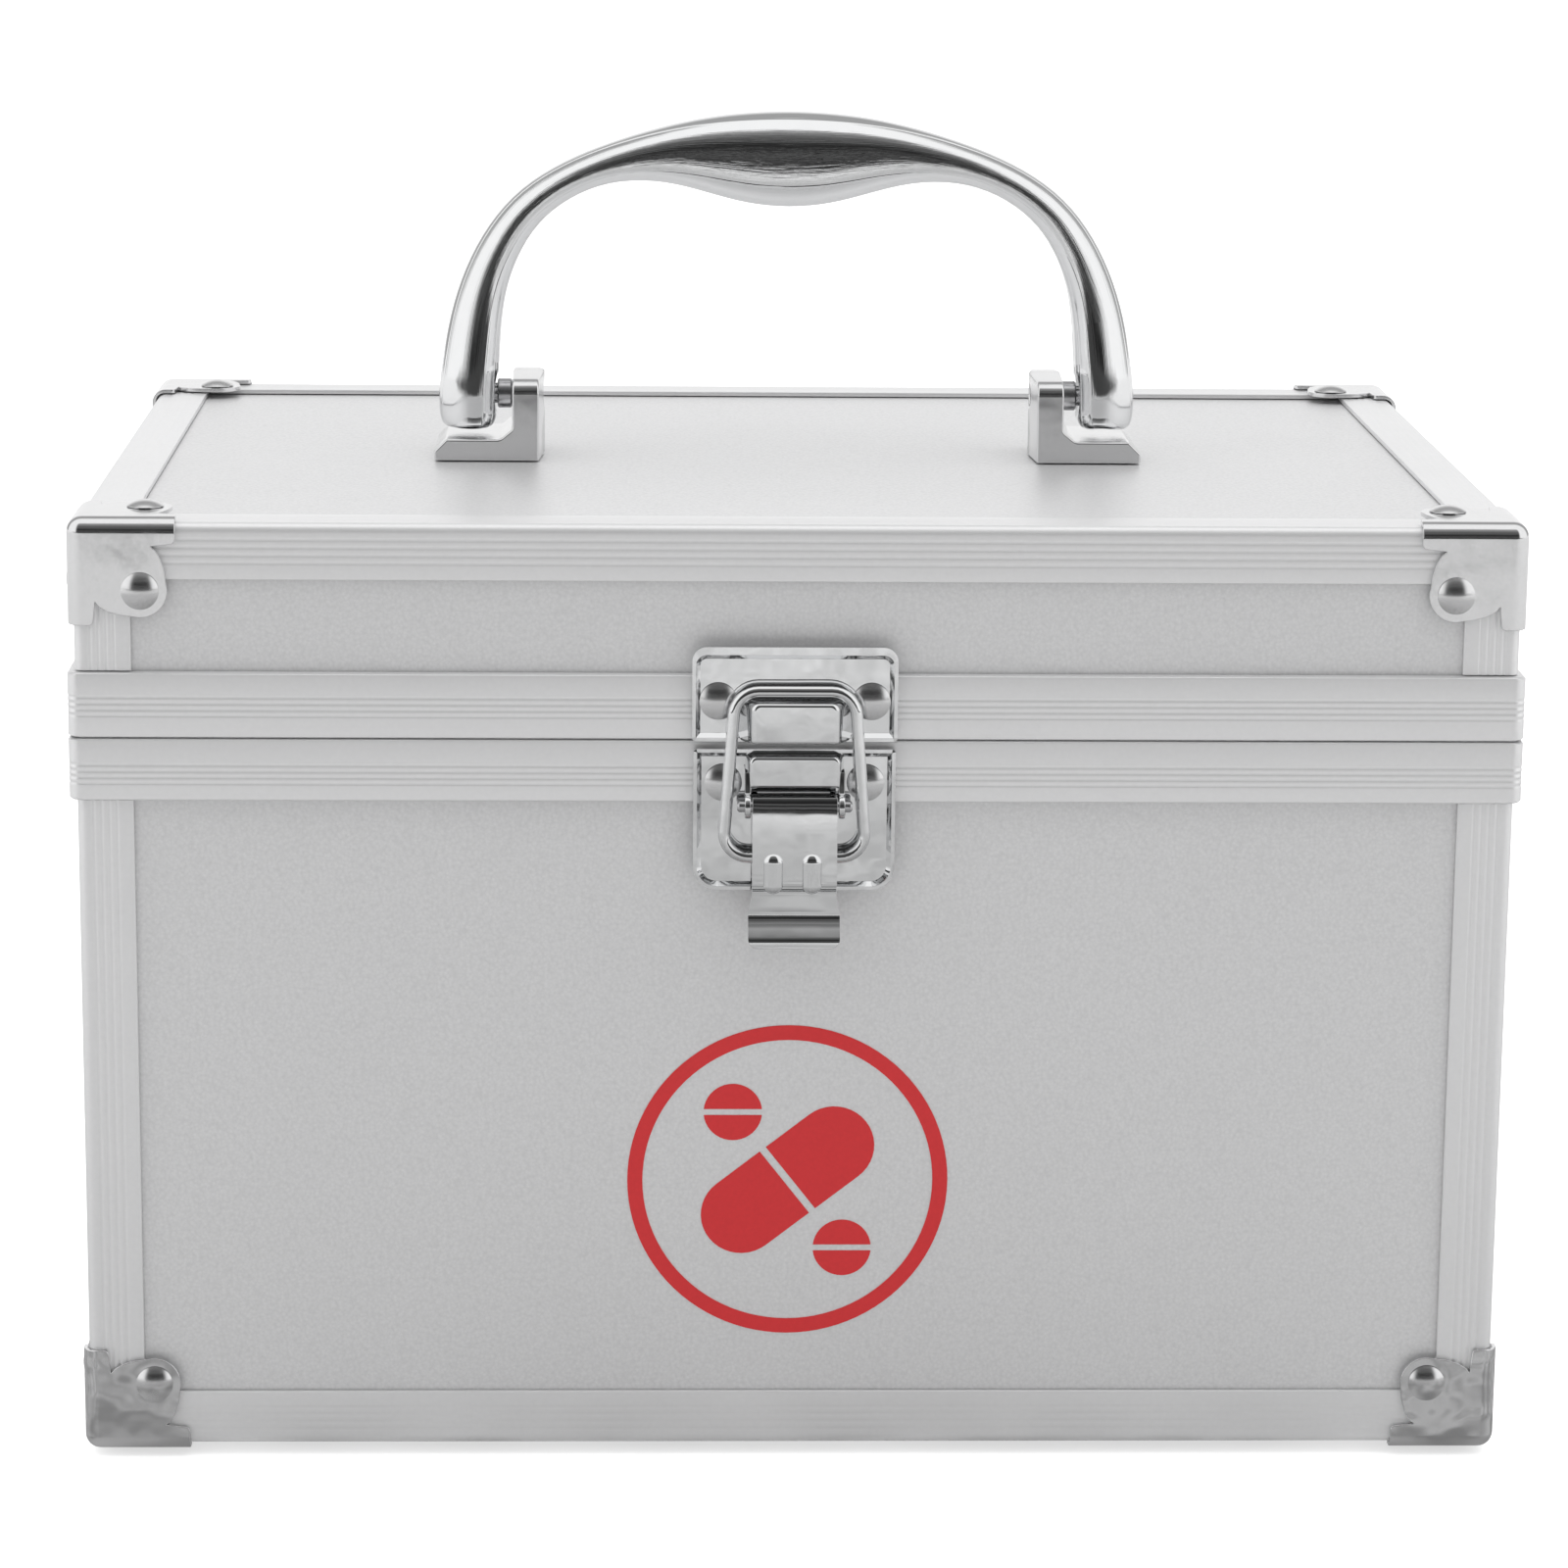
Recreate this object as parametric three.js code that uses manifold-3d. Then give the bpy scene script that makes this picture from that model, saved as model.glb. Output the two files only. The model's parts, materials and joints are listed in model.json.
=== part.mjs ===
// A medication lock box: boards in an aluminium angle frame, a hinged lid, a draw latch and a folding handle.
// Millimetres. X runs across the front, Y from the front to the back, and Z up from the rivets it stands on.
import * as THREE from 'three';
import { RoundedBoxGeometry } from 'three/addons/geometries/RoundedBoxGeometry.js';
import { mergeVertices } from 'three/addons/utils/BufferGeometryUtils.js';
import Module from 'manifold-3d';

const wasm = await Module();
wasm.setup();

// The case, measured over its rails, and the clearance between neighbouring pieces
const caseWidth = 300;
const caseDepth = 210;
const baseHeight = 154.6;
const lidHeight = 44.9;
const fitGap = 0.3;
const cutOverrun = 2;

// Boards and lining
const boardThickness = 4;
const liningThickness = 2;

// Angle rails and posts, with flutes along both outer faces
const railLeg = 11.8;
const railThickness = 1;
const railCorner = 2;
const fluteCount = 4;
const firstFlute = 3.4;
const flutePitch = 1.63;
const fluteWidth = 0.6;
const fluteDepth = 0.35;

// The two rims that meet at the seam: a fluted band outside, a flange over the board and a lip inside it
const rimProud = 1.5;
const rimCorner = 5;
const rimChamfer = 0.4;
const rimFlange = 1.5;
const rimLip = 1.2;
const lipDrop = 7.5;
const seamGap = 0.4;
const baseRimHeight = 13.2;
const lidRimHeight = 13.7;
const baseRimFirstFlute = 5.6;
const lidRimFirstFlute = 4.8;
const rimFlutePitch = 1.3;
const tongueWidth = 1;
const tongueRise = 2;
const tongueClearance = 0.6;
const grooveHeadroom = 1;

// Corner caps and the rivets that hold them
const capThickness = 0.9;
const capReach = 21.5;
const capStrip = 4.5;
const capNotchAlong = 17;
const capNotchDeep = 5.3;
const capLobe = 6.5;
const capRivetInset = 14;
const rivetRadius = 3.9;
const rivetHead = 1.5;
const rivetShank = 1.9;
const rivetSides = 10;
const rivetHeadShares = [[1, 0], [1, 0.2], [0.8, 0.73], [0.45, 1]];

// Draw latch: places are measured from the seam, and outward from the rims' face
const latchOffset = -1;
const plateThickness = 1.2;
const plateRim = 1.6;
const plateRimRise = 0.8;
const latchRivetHead = 1.2;
const keeperHalfWidth = 21.3;
const keeperFoot = 0.2;
const keeperTop = 20.1;
const keeperCorner = 3;
const keeperRivetAcross = 15.9;
const keeperRivetRise = 8.6;
const hookHalfWidth = 11.2;
const hookFaceTaper = 2.4;
const hookTop = 9.6;
const hookReach = 7.5;
const hookEdge = 1.6;
const hookCorner = 2;
const catchHalfWidth = 21;
const catchTop = 1.4;
const catchBottom = 31.4;
const catchCorner = 5;
const catchRivetAcross = 14.8;
const catchRivetDrop = 8.6;
const bridgeTop = 1.9;
const bridgeHeight = 7.4;
const earThickness = 1.3;
const earBoss = 2.6;
const leverPinReach = 6;
const leverPinDrop = 12.7;
const leverPinRadius = 1.25;
const leverPinProud = 1.5;
const leverHalfWidth = 8.8;
const leverFlare = 0.8;
const leverBelly = 3.2;
const leverLength = 29;
const leverSheet = 1.2;
const leverHead = 2.4;
const leverLipCorner = 2;
const leverProfileShares = [
  [0.06, 0.083], [0.55, 0.055], [0.75, 0], [0.91, -0.169], [1, -0.376],
  [0.81, -0.583], [0.19, -0.669], [-0.06, -0.762], [0.19, -0.859], [0.81, -1],
];
const leverWaistShare = 0.583;
const leverFlareShare = 0.83;
const barDrop = 11.05;
const barSetback = 1.3;
const barBoss = 1;
const bailWire = 1.3;
const bailSides = 8;
const bailLift = 0.35;
const bailSideGap = 0.7;
const bailSplay = 1.5;
const bailBottomCorner = 5;
const bailTopCorner = 4.5;
const bailShoulderShare = 0.17;
const bailWaistShare = 0.8;

// Rear hinges: places are measured from the seam, and outward from the rims' face
const hingeInset = 58;
const hingeWidth = 40;
const leafHeight = 12.5;
const leafThickness = 1.2;
const barrelRadius = 3;
const hingePinRadius = 1.5;
const centreKnuckle = 14;
const hingeRivetAcross = 13.5;
const hingeRivetRise = 7.9;
const hingeRivetRadius = 2.6;
const hingeRivetHead = 1.1;
const lugLength = 6;
const lugThickness = 1.2;
const stopAngle = THREE.MathUtils.degToRad(96);
const barrelSides = 12;

// Handle and its two brackets: heights are measured from the lid board's upper face
const pivotRise = 13.85;
const legSpread = 72.2;
const handleRise = 54.35;
const gripHalfHeight = 10.6;
const gripHalfDepth = 8.5;
const legHalfThickness = 6.6;
const legEndRadius = 8.2;
const legClearance = 0.55;
const handleSides = 12;
const handlePinRadius = 2.3;
const handleCollarRadius = 3.35;
const handleCollar = 3.3;
const handleBoreShare = 0.85;
const bracketHalfDepth = 13;
const bracketFootWidth = 23.4;
const bracketFootChamfer = 2.7;
const uprightThickness = 5.9;
const uprightOverPivot = 4.65;
const uprightCorner = 3.3;
const filletWidth = 2.8;
const filletHeight = 2.3;
// Rows of the leg's rounded end: depth below the pivot, half-thickness and half-depth
const legEndShares = [[-0.93, 0.64, 0.37], [-0.78, 0.85, 0.61], [-0.49, 0.97, 0.77], [0, 1, 0.79]];
// Rows of the handle's left half: distance out, height over the pivot, half-thickness and half-depth
const handleShares = [
  [0.992, 0.128, 0.632, 0.765], [0.976, 0.312, 0.547, 0.753], [0.943, 0.49, 0.481, 0.735],
  [0.881, 0.661, 0.434, 0.718], [0.796, 0.799, 0.396, 0.706], [0.672, 0.904, 0.368, 0.706],
  [0.54, 0.967, 0.406, 0.729], [0.388, 1, 0.566, 0.812], [0.249, 1, 0.783, 0.906],
  [0.125, 0.987, 0.943, 0.976], [0, 0.982, 1, 1],
];

// Levels and insets that follow from the sizes above; insets run inward from the rails' outer faces
const topLevel = baseHeight + lidHeight;
const boardInset = railThickness + fitGap;
const boardInner = boardInset + boardThickness;
const lipOuter = boardInner + fitGap;
const lipInner = lipOuter + rimLip;
const liningInner = lipOuter + liningThickness;
const tongueInset = boardInset + boardThickness / 2;
const grooveRise = tongueRise + grooveHeadroom;
const baseFlangeRise = seamGap / 2 + rimFlange;
const lidFlangeRise = grooveRise + rimFlange;
const plateBack = fitGap;
const plateFront = plateBack + plateThickness;
const plateMiddle = -plateFront + plateThickness / 2;
const capOuterCorner = railCorner + capThickness;
const postEndInset = railCorner - fitGap;
const footHeight = fitGap + capThickness + rivetHead;
const hingeAxisReach = plateBack + barrelRadius;
const lugReach = Math.hypot(lugLength, lugThickness / 2);
const lugHalfAngle = Math.atan2(lugThickness / 2, lugLength);
const lugContact = Math.asin((barrelRadius - leafThickness) / lugReach) - lugHalfAngle;
const lugDrop = Math.PI / 2 + lugContact - stopAngle;
const frontReach = leverPinReach + leverBelly;
const hingeSpread = caseWidth / 2 - hingeInset;
const rearReach = hingeAxisReach + lugLength * Math.cos(lugDrop) + lugThickness / 2 * Math.sin(lugDrop);

// Surfaces, one material per mesh
const finishes = {
  board: { color: 0xb4b6b8, roughness: 0.5, metalness: 0.7 },
  rail: { color: 0xc9cbcd, roughness: 0.38, metalness: 0.9 },
  cap: { color: 0xb2b4b6, roughness: 0.3, metalness: 0.95 },
  chrome: { color: 0xdadcde, roughness: 0.08, metalness: 1 },
  steel: { color: 0xa8aaad, roughness: 0.32, metalness: 0.95 },
  lining: { color: 0x3f4246, roughness: 0.95, metalness: 0 },
};

function addMesh(parent, name, geometry, finish) {
  const mesh = new THREE.Mesh(geometry, new THREE.MeshStandardMaterial(finishes[finish]));
  mesh.name = name;
  parent.add(mesh);
  return mesh;
}

// Turns a closed geometry into a solid that can be joined and cut
function solid(geometry) {
  const bare = geometry.index ? geometry.clone() : geometry;
  bare.deleteAttribute('normal');
  bare.deleteAttribute('uv');
  const merged = mergeVertices(bare);
  return new wasm.Manifold(new wasm.Mesh({
    numProp: 3,
    vertProperties: new Float32Array(merged.attributes.position.array),
    triVerts: new Uint32Array(merged.index.array),
  }));
}

function geometryOf(body) {
  const mesh = body.getMesh();
  const geometry = new THREE.BufferGeometry();
  geometry.setAttribute('position', new THREE.BufferAttribute(mesh.vertProperties, mesh.numProp));
  geometry.setIndex(new THREE.BufferAttribute(mesh.triVerts, 1));
  geometry.computeVertexNormals();
  return geometry;
}

function joined(geometries) {
  return geometries.map(solid).reduce((whole, piece) => whole.add(piece));
}

// Mirrors a geometry by signs along the axes and keeps its faces pointing out
function mirrored(geometry, signX, signY, signZ) {
  const copy = geometry.clone().scale(signX, signY, signZ);
  if (signX * signY * signZ < 0) {
    copy.index.array.reverse();
  }
  copy.computeVertexNormals();
  return copy;
}

const point = (across, up) => new THREE.Vector2(across, up);

// Points of an arc, ends included
function arc(centreX, centreY, radius, fromDegrees, toDegrees, steps) {
  return Array.from({ length: steps + 1 }, (_, step) => {
    const angle = THREE.MathUtils.degToRad(fromDegrees + (toDegrees - fromDegrees) * step / steps);
    return point(centreX + radius * Math.cos(angle), centreY + radius * Math.sin(angle));
  });
}

// The span between two distances from the middle, on one side of it, with its lower end first
const span = (side, near, far) => (side > 0 ? [near, far] : [-far, -near]);

const circle = (centreX, centreY, radius, sides) => arc(centreX, centreY, radius, 0, 360, sides).slice(0, -1);

// Extrudes an outline along an axis: it is drawn in YZ for x, in XZ for y and in XY for z
function extruded(outline, axis, from, to, holes = []) {
  const shape = new THREE.Shape(THREE.ShapeUtils.isClockWise(outline) ? [...outline].reverse() : outline);
  shape.holes = holes.map((hole) => new THREE.Path(hole));
  const geometry = new THREE.ExtrudeGeometry(shape, { depth: to - from, bevelEnabled: false });
  const [unitX, unitY, unitZ] = [[1, 0, 0], [0, 1, 0], [0, 0, 1]].map((unit) => new THREE.Vector3(...unit));
  if (axis === 'x') {
    geometry.translate(0, 0, from).applyMatrix4(new THREE.Matrix4().makeBasis(unitY, unitZ, unitX));
  } else if (axis === 'y') {
    const back = unitY.clone().negate();
    geometry.translate(0, 0, -to).applyMatrix4(new THREE.Matrix4().makeBasis(unitX, unitZ, back));
  } else {
    geometry.translate(0, 0, from);
  }
  return geometry;
}

function box(minX, maxX, minY, maxY, minZ, maxZ) {
  const geometry = new THREE.BoxGeometry(maxX - minX, maxY - minY, maxZ - minZ);
  return geometry.translate((minX + maxX) / 2, (minY + maxY) / 2, (minZ + maxZ) / 2);
}

// Skins rows of points that each close on themselves; the rows close too, or end in flat fans
function skinned(rows, rowsClose) {
  const count = rows[0].length;
  const corners = rows.flat();
  const indices = [];
  const strips = rowsClose ? rows.length : rows.length - 1;
  for (let row = 0; row < strips; row += 1) {
    const next = (row + 1) % rows.length;
    for (let place = 0; place < count; place += 1) {
      const beside = (place + 1) % count;
      indices.push(row * count + place, next * count + beside, row * count + beside);
      indices.push(row * count + place, next * count + place, next * count + beside);
    }
  }
  if (!rowsClose) {
    const last = (rows.length - 1) * count;
    for (let place = 1; place < count - 1; place += 1) {
      indices.push(0, place, place + 1);
      indices.push(last, last + place + 1, last + place);
    }
  }
  const geometry = new THREE.BufferGeometry().setFromPoints(corners);
  geometry.setIndex(indices);
  geometry.computeVertexNormals();
  return geometry;
}

// A domed rivet head on the XZ plane that points along +Y, with its shank reaching down below it
function rivet(radius, height, shankRadius, shankLength) {
  const profile = rivetHeadShares.map(([across, up]) => point(across * radius, up * height));
  const shank = [point(shankRadius, -shankLength), point(shankRadius, 0)];
  const foot = shankLength > 0 ? [point(0, -shankLength), ...shank] : [point(0, 0)];
  return new THREE.LatheGeometry([...foot, ...profile, point(0, height)], rivetSides);
}

// Boards, rails and posts

function angleOutline() {
  const flutes = Array.from({ length: fluteCount }, (_, index) => firstFlute + index * flutePitch).reverse();
  const face = flutes.flatMap((centre) => [
    point(centre + fluteWidth / 2, 0), point(centre, fluteDepth), point(centre - fluteWidth / 2, 0),
  ]);
  const otherFace = face.map(({ x, y }) => point(y, x)).reverse();
  return [
    point(railLeg, railThickness), point(railLeg, 0), ...face,
    ...arc(railCorner, railCorner, railCorner, 270, 180, 2), ...otherFace,
    point(0, railLeg), point(railThickness, railLeg), point(railThickness, railThickness),
  ];
}

const sides = [['left', -1], ['right', 1]];
const ends = [['front', -1], ['back', 1]];

function addPosts(parent, prefix, bottom, top) {
  for (const [sideName, side] of sides) {
    for (const [endName, end] of ends) {
      const outline = angleOutline()
        .map(({ x, y }) => point(side * (caseWidth / 2 - x), end * (caseDepth / 2 - y)));
      addMesh(parent, `${prefix}_post_${endName}_${sideName}`, extruded(outline, 'z', bottom, top), 'rail');
    }
  }
}

function addRails(parent, prefix, level, up) {
  for (const [name, end] of ends) {
    const outline = angleOutline().map(({ x, y }) => point(end * (caseDepth / 2 - x), level + up * y));
    const reach = caseWidth / 2 - railLeg - fitGap;
    addMesh(parent, `${prefix}_rail_${name}`, extruded(outline, 'x', -reach, reach), 'rail');
  }
  for (const [name, side] of sides) {
    const outline = angleOutline().map(({ x, y }) => point(side * (caseWidth / 2 - x), level + up * y));
    const reach = caseDepth / 2 - railLeg - fitGap;
    addMesh(parent, `${prefix}_rail_${name}`, extruded(outline, 'y', -reach, reach), 'rail');
  }
}

function addWalls(parent, prefix, bottom, top) {
  const outerWidth = caseWidth / 2 - boardInset;
  const innerWidth = caseWidth / 2 - boardInner;
  const outerDepth = caseDepth / 2 - boardInset;
  const innerDepth = caseDepth / 2 - boardInner;
  const between = innerDepth - fitGap;
  const walls = {
    front: [-outerWidth, outerWidth, -outerDepth, -innerDepth],
    back: [-outerWidth, outerWidth, innerDepth, outerDepth],
    left: [-outerWidth, -innerWidth, -between, between],
    right: [innerWidth, outerWidth, -between, between],
  };
  for (const [name, spans] of Object.entries(walls)) {
    addMesh(parent, `${prefix}_board_${name}`, box(...spans, bottom, top), 'board');
  }
}

function flatBoard(bottom) {
  const halfWidth = caseWidth / 2 - lipOuter;
  const halfDepth = caseDepth / 2 - lipOuter;
  return box(-halfWidth, halfWidth, -halfDepth, halfDepth, bottom, bottom + boardThickness);
}

// An open tray of lining between a closed end and an open end
function liningTray(closedEnd, openEnd) {
  const direction = Math.sign(openEnd - closedEnd);
  const halves = (inset) => [caseWidth / 2 - inset, caseDepth / 2 - inset];
  const [outerX, outerY] = halves(lipOuter);
  const [innerX, innerY] = halves(liningInner);
  const sorted = (one, other) => [Math.min(one, other), Math.max(one, other)];
  const levels = sorted(closedEnd, openEnd);
  const hollow = sorted(closedEnd + direction * liningThickness, openEnd + direction * cutOverrun);
  const outer = solid(box(-outerX, outerX, -outerY, outerY, ...levels));
  return geometryOf(outer.subtract(solid(box(-innerX, innerX, -innerY, innerY, ...hollow))));
}

// Rims

function rimLoop(inset, level, radius) {
  const halfWidth = caseWidth / 2 - inset;
  const halfDepth = caseDepth / 2 - inset;
  const steps = 3;
  return [[1, 1, 0], [-1, 1, 90], [-1, -1, 180], [1, -1, 270]].flatMap(([side, end, start]) => {
    const centre = [side * (halfWidth - radius), end * (halfDepth - radius)];
    return arc(...centre, radius, start, start + 90, steps).map(({ x, y }) => new THREE.Vector3(x, y, level));
  });
}

// A rim over the seam plane; its key is a groove when keyRise is positive and a tongue when it is negative
function rimGeometry(height, firstGroove, keyWidth, keyRise, flangeRise) {
  const outerRow = (depth, level) => [depth - rimProud, level, rimCorner - depth];
  const innerRow = (inset, level) => [inset, level, fitGap];
  const flutes = Array.from({ length: fluteCount }, (_, index) => firstGroove + index * rimFlutePitch);
  const seam = seamGap / 2;
  const rows = [
    innerRow(railThickness, height), outerRow(rimChamfer, height), outerRow(0, height - rimChamfer),
    ...flutes.reverse().flatMap((centre) => [
      outerRow(0, centre + fluteWidth / 2), outerRow(fluteDepth, centre),
      outerRow(0, centre - fluteWidth / 2),
    ]),
    outerRow(0, seam + rimChamfer), outerRow(rimChamfer, seam),
    innerRow(tongueInset - keyWidth / 2, seam), innerRow(tongueInset - keyWidth / 2, keyRise),
    innerRow(tongueInset + keyWidth / 2, keyRise), innerRow(tongueInset + keyWidth / 2, seam),
    innerRow(lipInner, seam), innerRow(lipInner, flangeRise + lipDrop),
    innerRow(lipOuter, flangeRise + lipDrop), innerRow(lipOuter, flangeRise),
    innerRow(railThickness, flangeRise),
  ];
  return skinned(rows.map((row) => rimLoop(...row)), true);
}

function addRims(parent) {
  const grooveWidth = tongueWidth + 2 * tongueClearance;
  const upper = rimGeometry(lidRimHeight, lidRimFirstFlute, grooveWidth, grooveRise, lidFlangeRise);
  const lower = rimGeometry(baseRimHeight, baseRimFirstFlute, tongueWidth, -tongueRise, baseFlangeRise);
  addMesh(parent, 'lid_rim', upper, 'rail').position.z = baseHeight;
  addMesh(parent, 'base_rim', mirrored(lower, 1, 1, -1), 'rail').position.z = baseHeight;
}

// Corner caps

// One flange, drawn from the case's corner inward: an arm along each edge and a round lobe at the rivet
function capFlange() {
  const beyond = -(fitGap + capThickness + cutOverrun);
  return [
    point(beyond, beyond), point(capReach, beyond), point(capReach, capStrip),
    point(capNotchAlong, capNotchDeep), ...arc(capRivetInset, capRivetInset, capLobe, -60, 150, 6),
    point(capNotchDeep, capNotchAlong), point(capStrip, capReach), point(beyond, capReach),
  ];
}

// The cap of the corner where X, Y and Z are greatest, with the rails' corner at the origin
function capGeometry() {
  const blockSize = 3 * capReach;
  const corner = (offset, radius) => {
    const block = new RoundedBoxGeometry(blockSize, blockSize, blockSize, 1, radius);
    const centre = offset - blockSize / 2;
    return solid(block.translate(centre, centre, centre));
  };
  const shell = corner(fitGap + capThickness, capOuterCorner).subtract(corner(fitGap, railCorner));
  const outline = capFlange().map(({ x, y }) => point(-x, -y));
  const above = fitGap + capThickness + cutOverrun;
  const flanges = ['x', 'y', 'z'].map((axis) => extruded(outline, axis, -capOuterCorner, above));
  const seat = fitGap + capThickness / 2;
  const head = () => rivet(rivetRadius, footHeight - seat, 0, 0);
  const heads = [
    head().rotateZ(-Math.PI / 2).translate(seat, -capRivetInset, -capRivetInset),
    head().translate(-capRivetInset, seat, -capRivetInset),
    head().rotateX(Math.PI / 2).translate(-capRivetInset, -capRivetInset, seat),
  ];
  return geometryOf(shell.intersect(joined(flanges)).add(joined(heads)));
}

function addCaps(parent) {
  const cap = capGeometry();
  for (const [levelName, up, level] of [['base', -1, 0], ['lid', 1, topLevel]]) {
    for (const [endName, end] of ends) {
      for (const [sideName, side] of sides) {
        const name = `${levelName}_cap_${endName}_${sideName}`;
        const mesh = addMesh(parent, name, mirrored(cap, side, end, up), 'cap');
        mesh.position.set(side * caseWidth / 2, end * caseDepth / 2, level);
      }
    }
  }
}

// Draw latch, in a group at the seam on the rims' front face, where outward is -Y

// A plate in XZ with two rounded corners at its free end and a raised rim round its edge
function latchPlate(halfWidth, squareEnd, roundEnd, corner, rivetAcross, rivetLevel) {
  const away = Math.sign(roundEnd - squareEnd);
  const outline = (inset) => {
    const half = halfWidth - inset;
    const end = roundEnd - away * inset;
    const radius = corner - inset;
    const rightTurn = arc(half - radius, 0, radius, 0, 90, 3);
    const leftTurn = arc(radius - half, 0, radius, 90, 180, 3);
    const rounded = [...rightTurn, ...leftTurn].map(({ x, y }) => point(x, end - away * (radius - y)));
    return [point(-half, squareEnd + away * inset), point(half, squareEnd + away * inset), ...rounded];
  };
  const hole = rivetShank + fitGap;
  const holes = [-1, 1].map((side) => circle(side * rivetAcross, rivetLevel, hole, rivetSides));
  const plate = solid(extruded(outline(0), 'y', -plateFront, -plateBack, holes));
  const rimFront = -plateFront - plateRimRise;
  return plate.add(solid(extruded(outline(0), 'y', rimFront, plateMiddle, [outline(plateRim)])));
}

function addLatchRivets(parent, name, across, level) {
  const seat = plateFront + fitGap;
  for (const [sideName, side] of sides) {
    const geometry = rivet(rivetRadius, latchRivetHead, rivetShank, seat - plateBack).rotateX(Math.PI);
    const mesh = addMesh(parent, `${name}_rivet_${sideName}`, geometry, 'chrome');
    mesh.position.set(side * across, -seat, level);
  }
}

function addKeeper(parent) {
  const rivetPlace = [keeperRivetAcross, keeperRivetRise];
  const plate = latchPlate(keeperHalfWidth, keeperFoot, keeperTop, keeperCorner, ...rivetPlace);
  const section = [
    point(plateMiddle, keeperFoot), point(plateMiddle, hookTop), point(hookEdge - hookReach, hookTop),
    point(-hookReach, hookTop - hookEdge), point(-hookReach, keeperFoot + hookEdge),
    point(hookEdge - hookReach, keeperFoot),
  ];
  const taper = [
    point(-hookHalfWidth, plateMiddle), point(hookHalfWidth, plateMiddle),
    point(hookHalfWidth, hookFaceTaper - hookReach), point(hookHalfWidth - hookFaceTaper, -hookReach),
    point(hookFaceTaper - hookHalfWidth, -hookReach), point(-hookHalfWidth, hookFaceTaper - hookReach),
  ];
  const face = [
    point(-hookHalfWidth, keeperFoot), point(hookHalfWidth, keeperFoot),
    point(hookHalfWidth, hookTop - hookCorner), point(hookHalfWidth - hookCorner, hookTop),
    point(hookCorner - hookHalfWidth, hookTop), point(-hookHalfWidth, hookTop - hookCorner),
  ];
  const hook = solid(extruded(section, 'x', -hookHalfWidth, hookHalfWidth))
    .intersect(solid(extruded(taper, 'z', keeperFoot - cutOverrun, hookTop + cutOverrun)))
    .intersect(solid(extruded(face, 'y', -hookReach - cutOverrun, cutOverrun)));
  addMesh(parent, 'latch_keeper', geometryOf(plate.add(hook)), 'chrome');
  addLatchRivets(parent, 'latch_keeper', ...rivetPlace);
}

const earInner = leverHalfWidth + fitGap;
const earOuter = earInner + earThickness;
const pinHole = leverPinRadius + fitGap;

function addCatchPlate(parent) {
  const rivetPlace = [catchRivetAcross, -catchRivetDrop];
  const plate = latchPlate(catchHalfWidth, -catchTop, -catchBottom, catchCorner, ...rivetPlace);
  const bridgeFoot = -bridgeTop - bridgeHeight;
  const bridge = box(-earOuter, earOuter, -leverPinReach, plateMiddle, bridgeFoot, -bridgeTop);
  const earTop = bridgeFoot + bridgeHeight / 2;
  const outline = [
    point(plateMiddle, earTop), point(-leverPinReach, earTop),
    ...arc(-leverPinReach, -leverPinDrop, earBoss, 90, 270, 5), point(plateMiddle, -leverPinDrop - earBoss),
  ];
  const pinCut = circle(-leverPinReach, -leverPinDrop, pinHole, barrelSides);
  const ears = [-1, 1].map((side) => extruded(outline, 'x', ...span(side, earInner, earOuter), [pinCut]));
  const whole = plate.add(solid(bridge)).add(joined(ears));
  addMesh(parent, 'latch_catch_plate', geometryOf(whole), 'chrome');
  addLatchRivets(parent, 'latch_catch', ...rivetPlace);
  const half = earOuter + leverPinProud;
  const pin = extruded(circle(0, 0, leverPinRadius, barrelSides), 'x', -half, half);
  addMesh(parent, 'lever_pin', pin, 'steel').position.set(0, -leverPinReach, -leverPinDrop);
}

// The lever about its pin, drawn in YZ with outward as -Y
function leverGeometry() {
  const outer = leverProfileShares.map(([out, up]) => point(-out * leverBelly, up * leverLength));
  const sheet = [...outer, ...outer.map(({ x, y }) => point(x + leverSheet, y)).reverse()];
  const widest = leverHalfWidth + leverFlare;
  const waist = -leverWaistShare * leverLength;
  const flare = -leverFlareShare * leverLength;
  const lip = leverLipCorner - leverLength;
  const rightSide = [
    point(leverHalfWidth, leverHead + cutOverrun), point(leverHalfWidth, waist), point(widest, flare),
    ...arc(widest - leverLipCorner, lip, leverLipCorner, 0, -90, 3),
  ];
  const front = [...rightSide, ...rightSide.map(({ x, y }) => point(-x, y)).reverse()];
  const tray = solid(extruded(sheet, 'x', -widest, widest))
    .intersect(solid(extruded(front, 'y', -leverBelly - cutOverrun, leverBelly + cutOverrun)));
  const barHole = bailWire + fitGap;
  const cheek = [
    point(-leverBelly / 2, leverHead / 2), ...arc(0, 0, leverHead, 90, 0, 3),
    ...arc(barSetback, -barDrop, barHole + barBoss, 0, -90, 3),
    point(-leverBelly / 2, waist), point(-leverBelly / 2 - leverSheet / 2, -barDrop),
  ];
  const cheekInner = leverHalfWidth - leverSheet;
  const cheeks = [-1, 1].map((side) => extruded(cheek, 'x', ...span(side, cheekInner, leverHalfWidth)));
  const pinCut = extruded(circle(0, 0, pinHole, barrelSides), 'x', -widest, widest);
  const barCut = extruded(circle(barSetback, -barDrop, barHole, barrelSides), 'x', -widest, widest);
  return geometryOf(tray.add(joined(cheeks)).subtract(solid(pinCut)).subtract(solid(barCut)));
}

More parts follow.
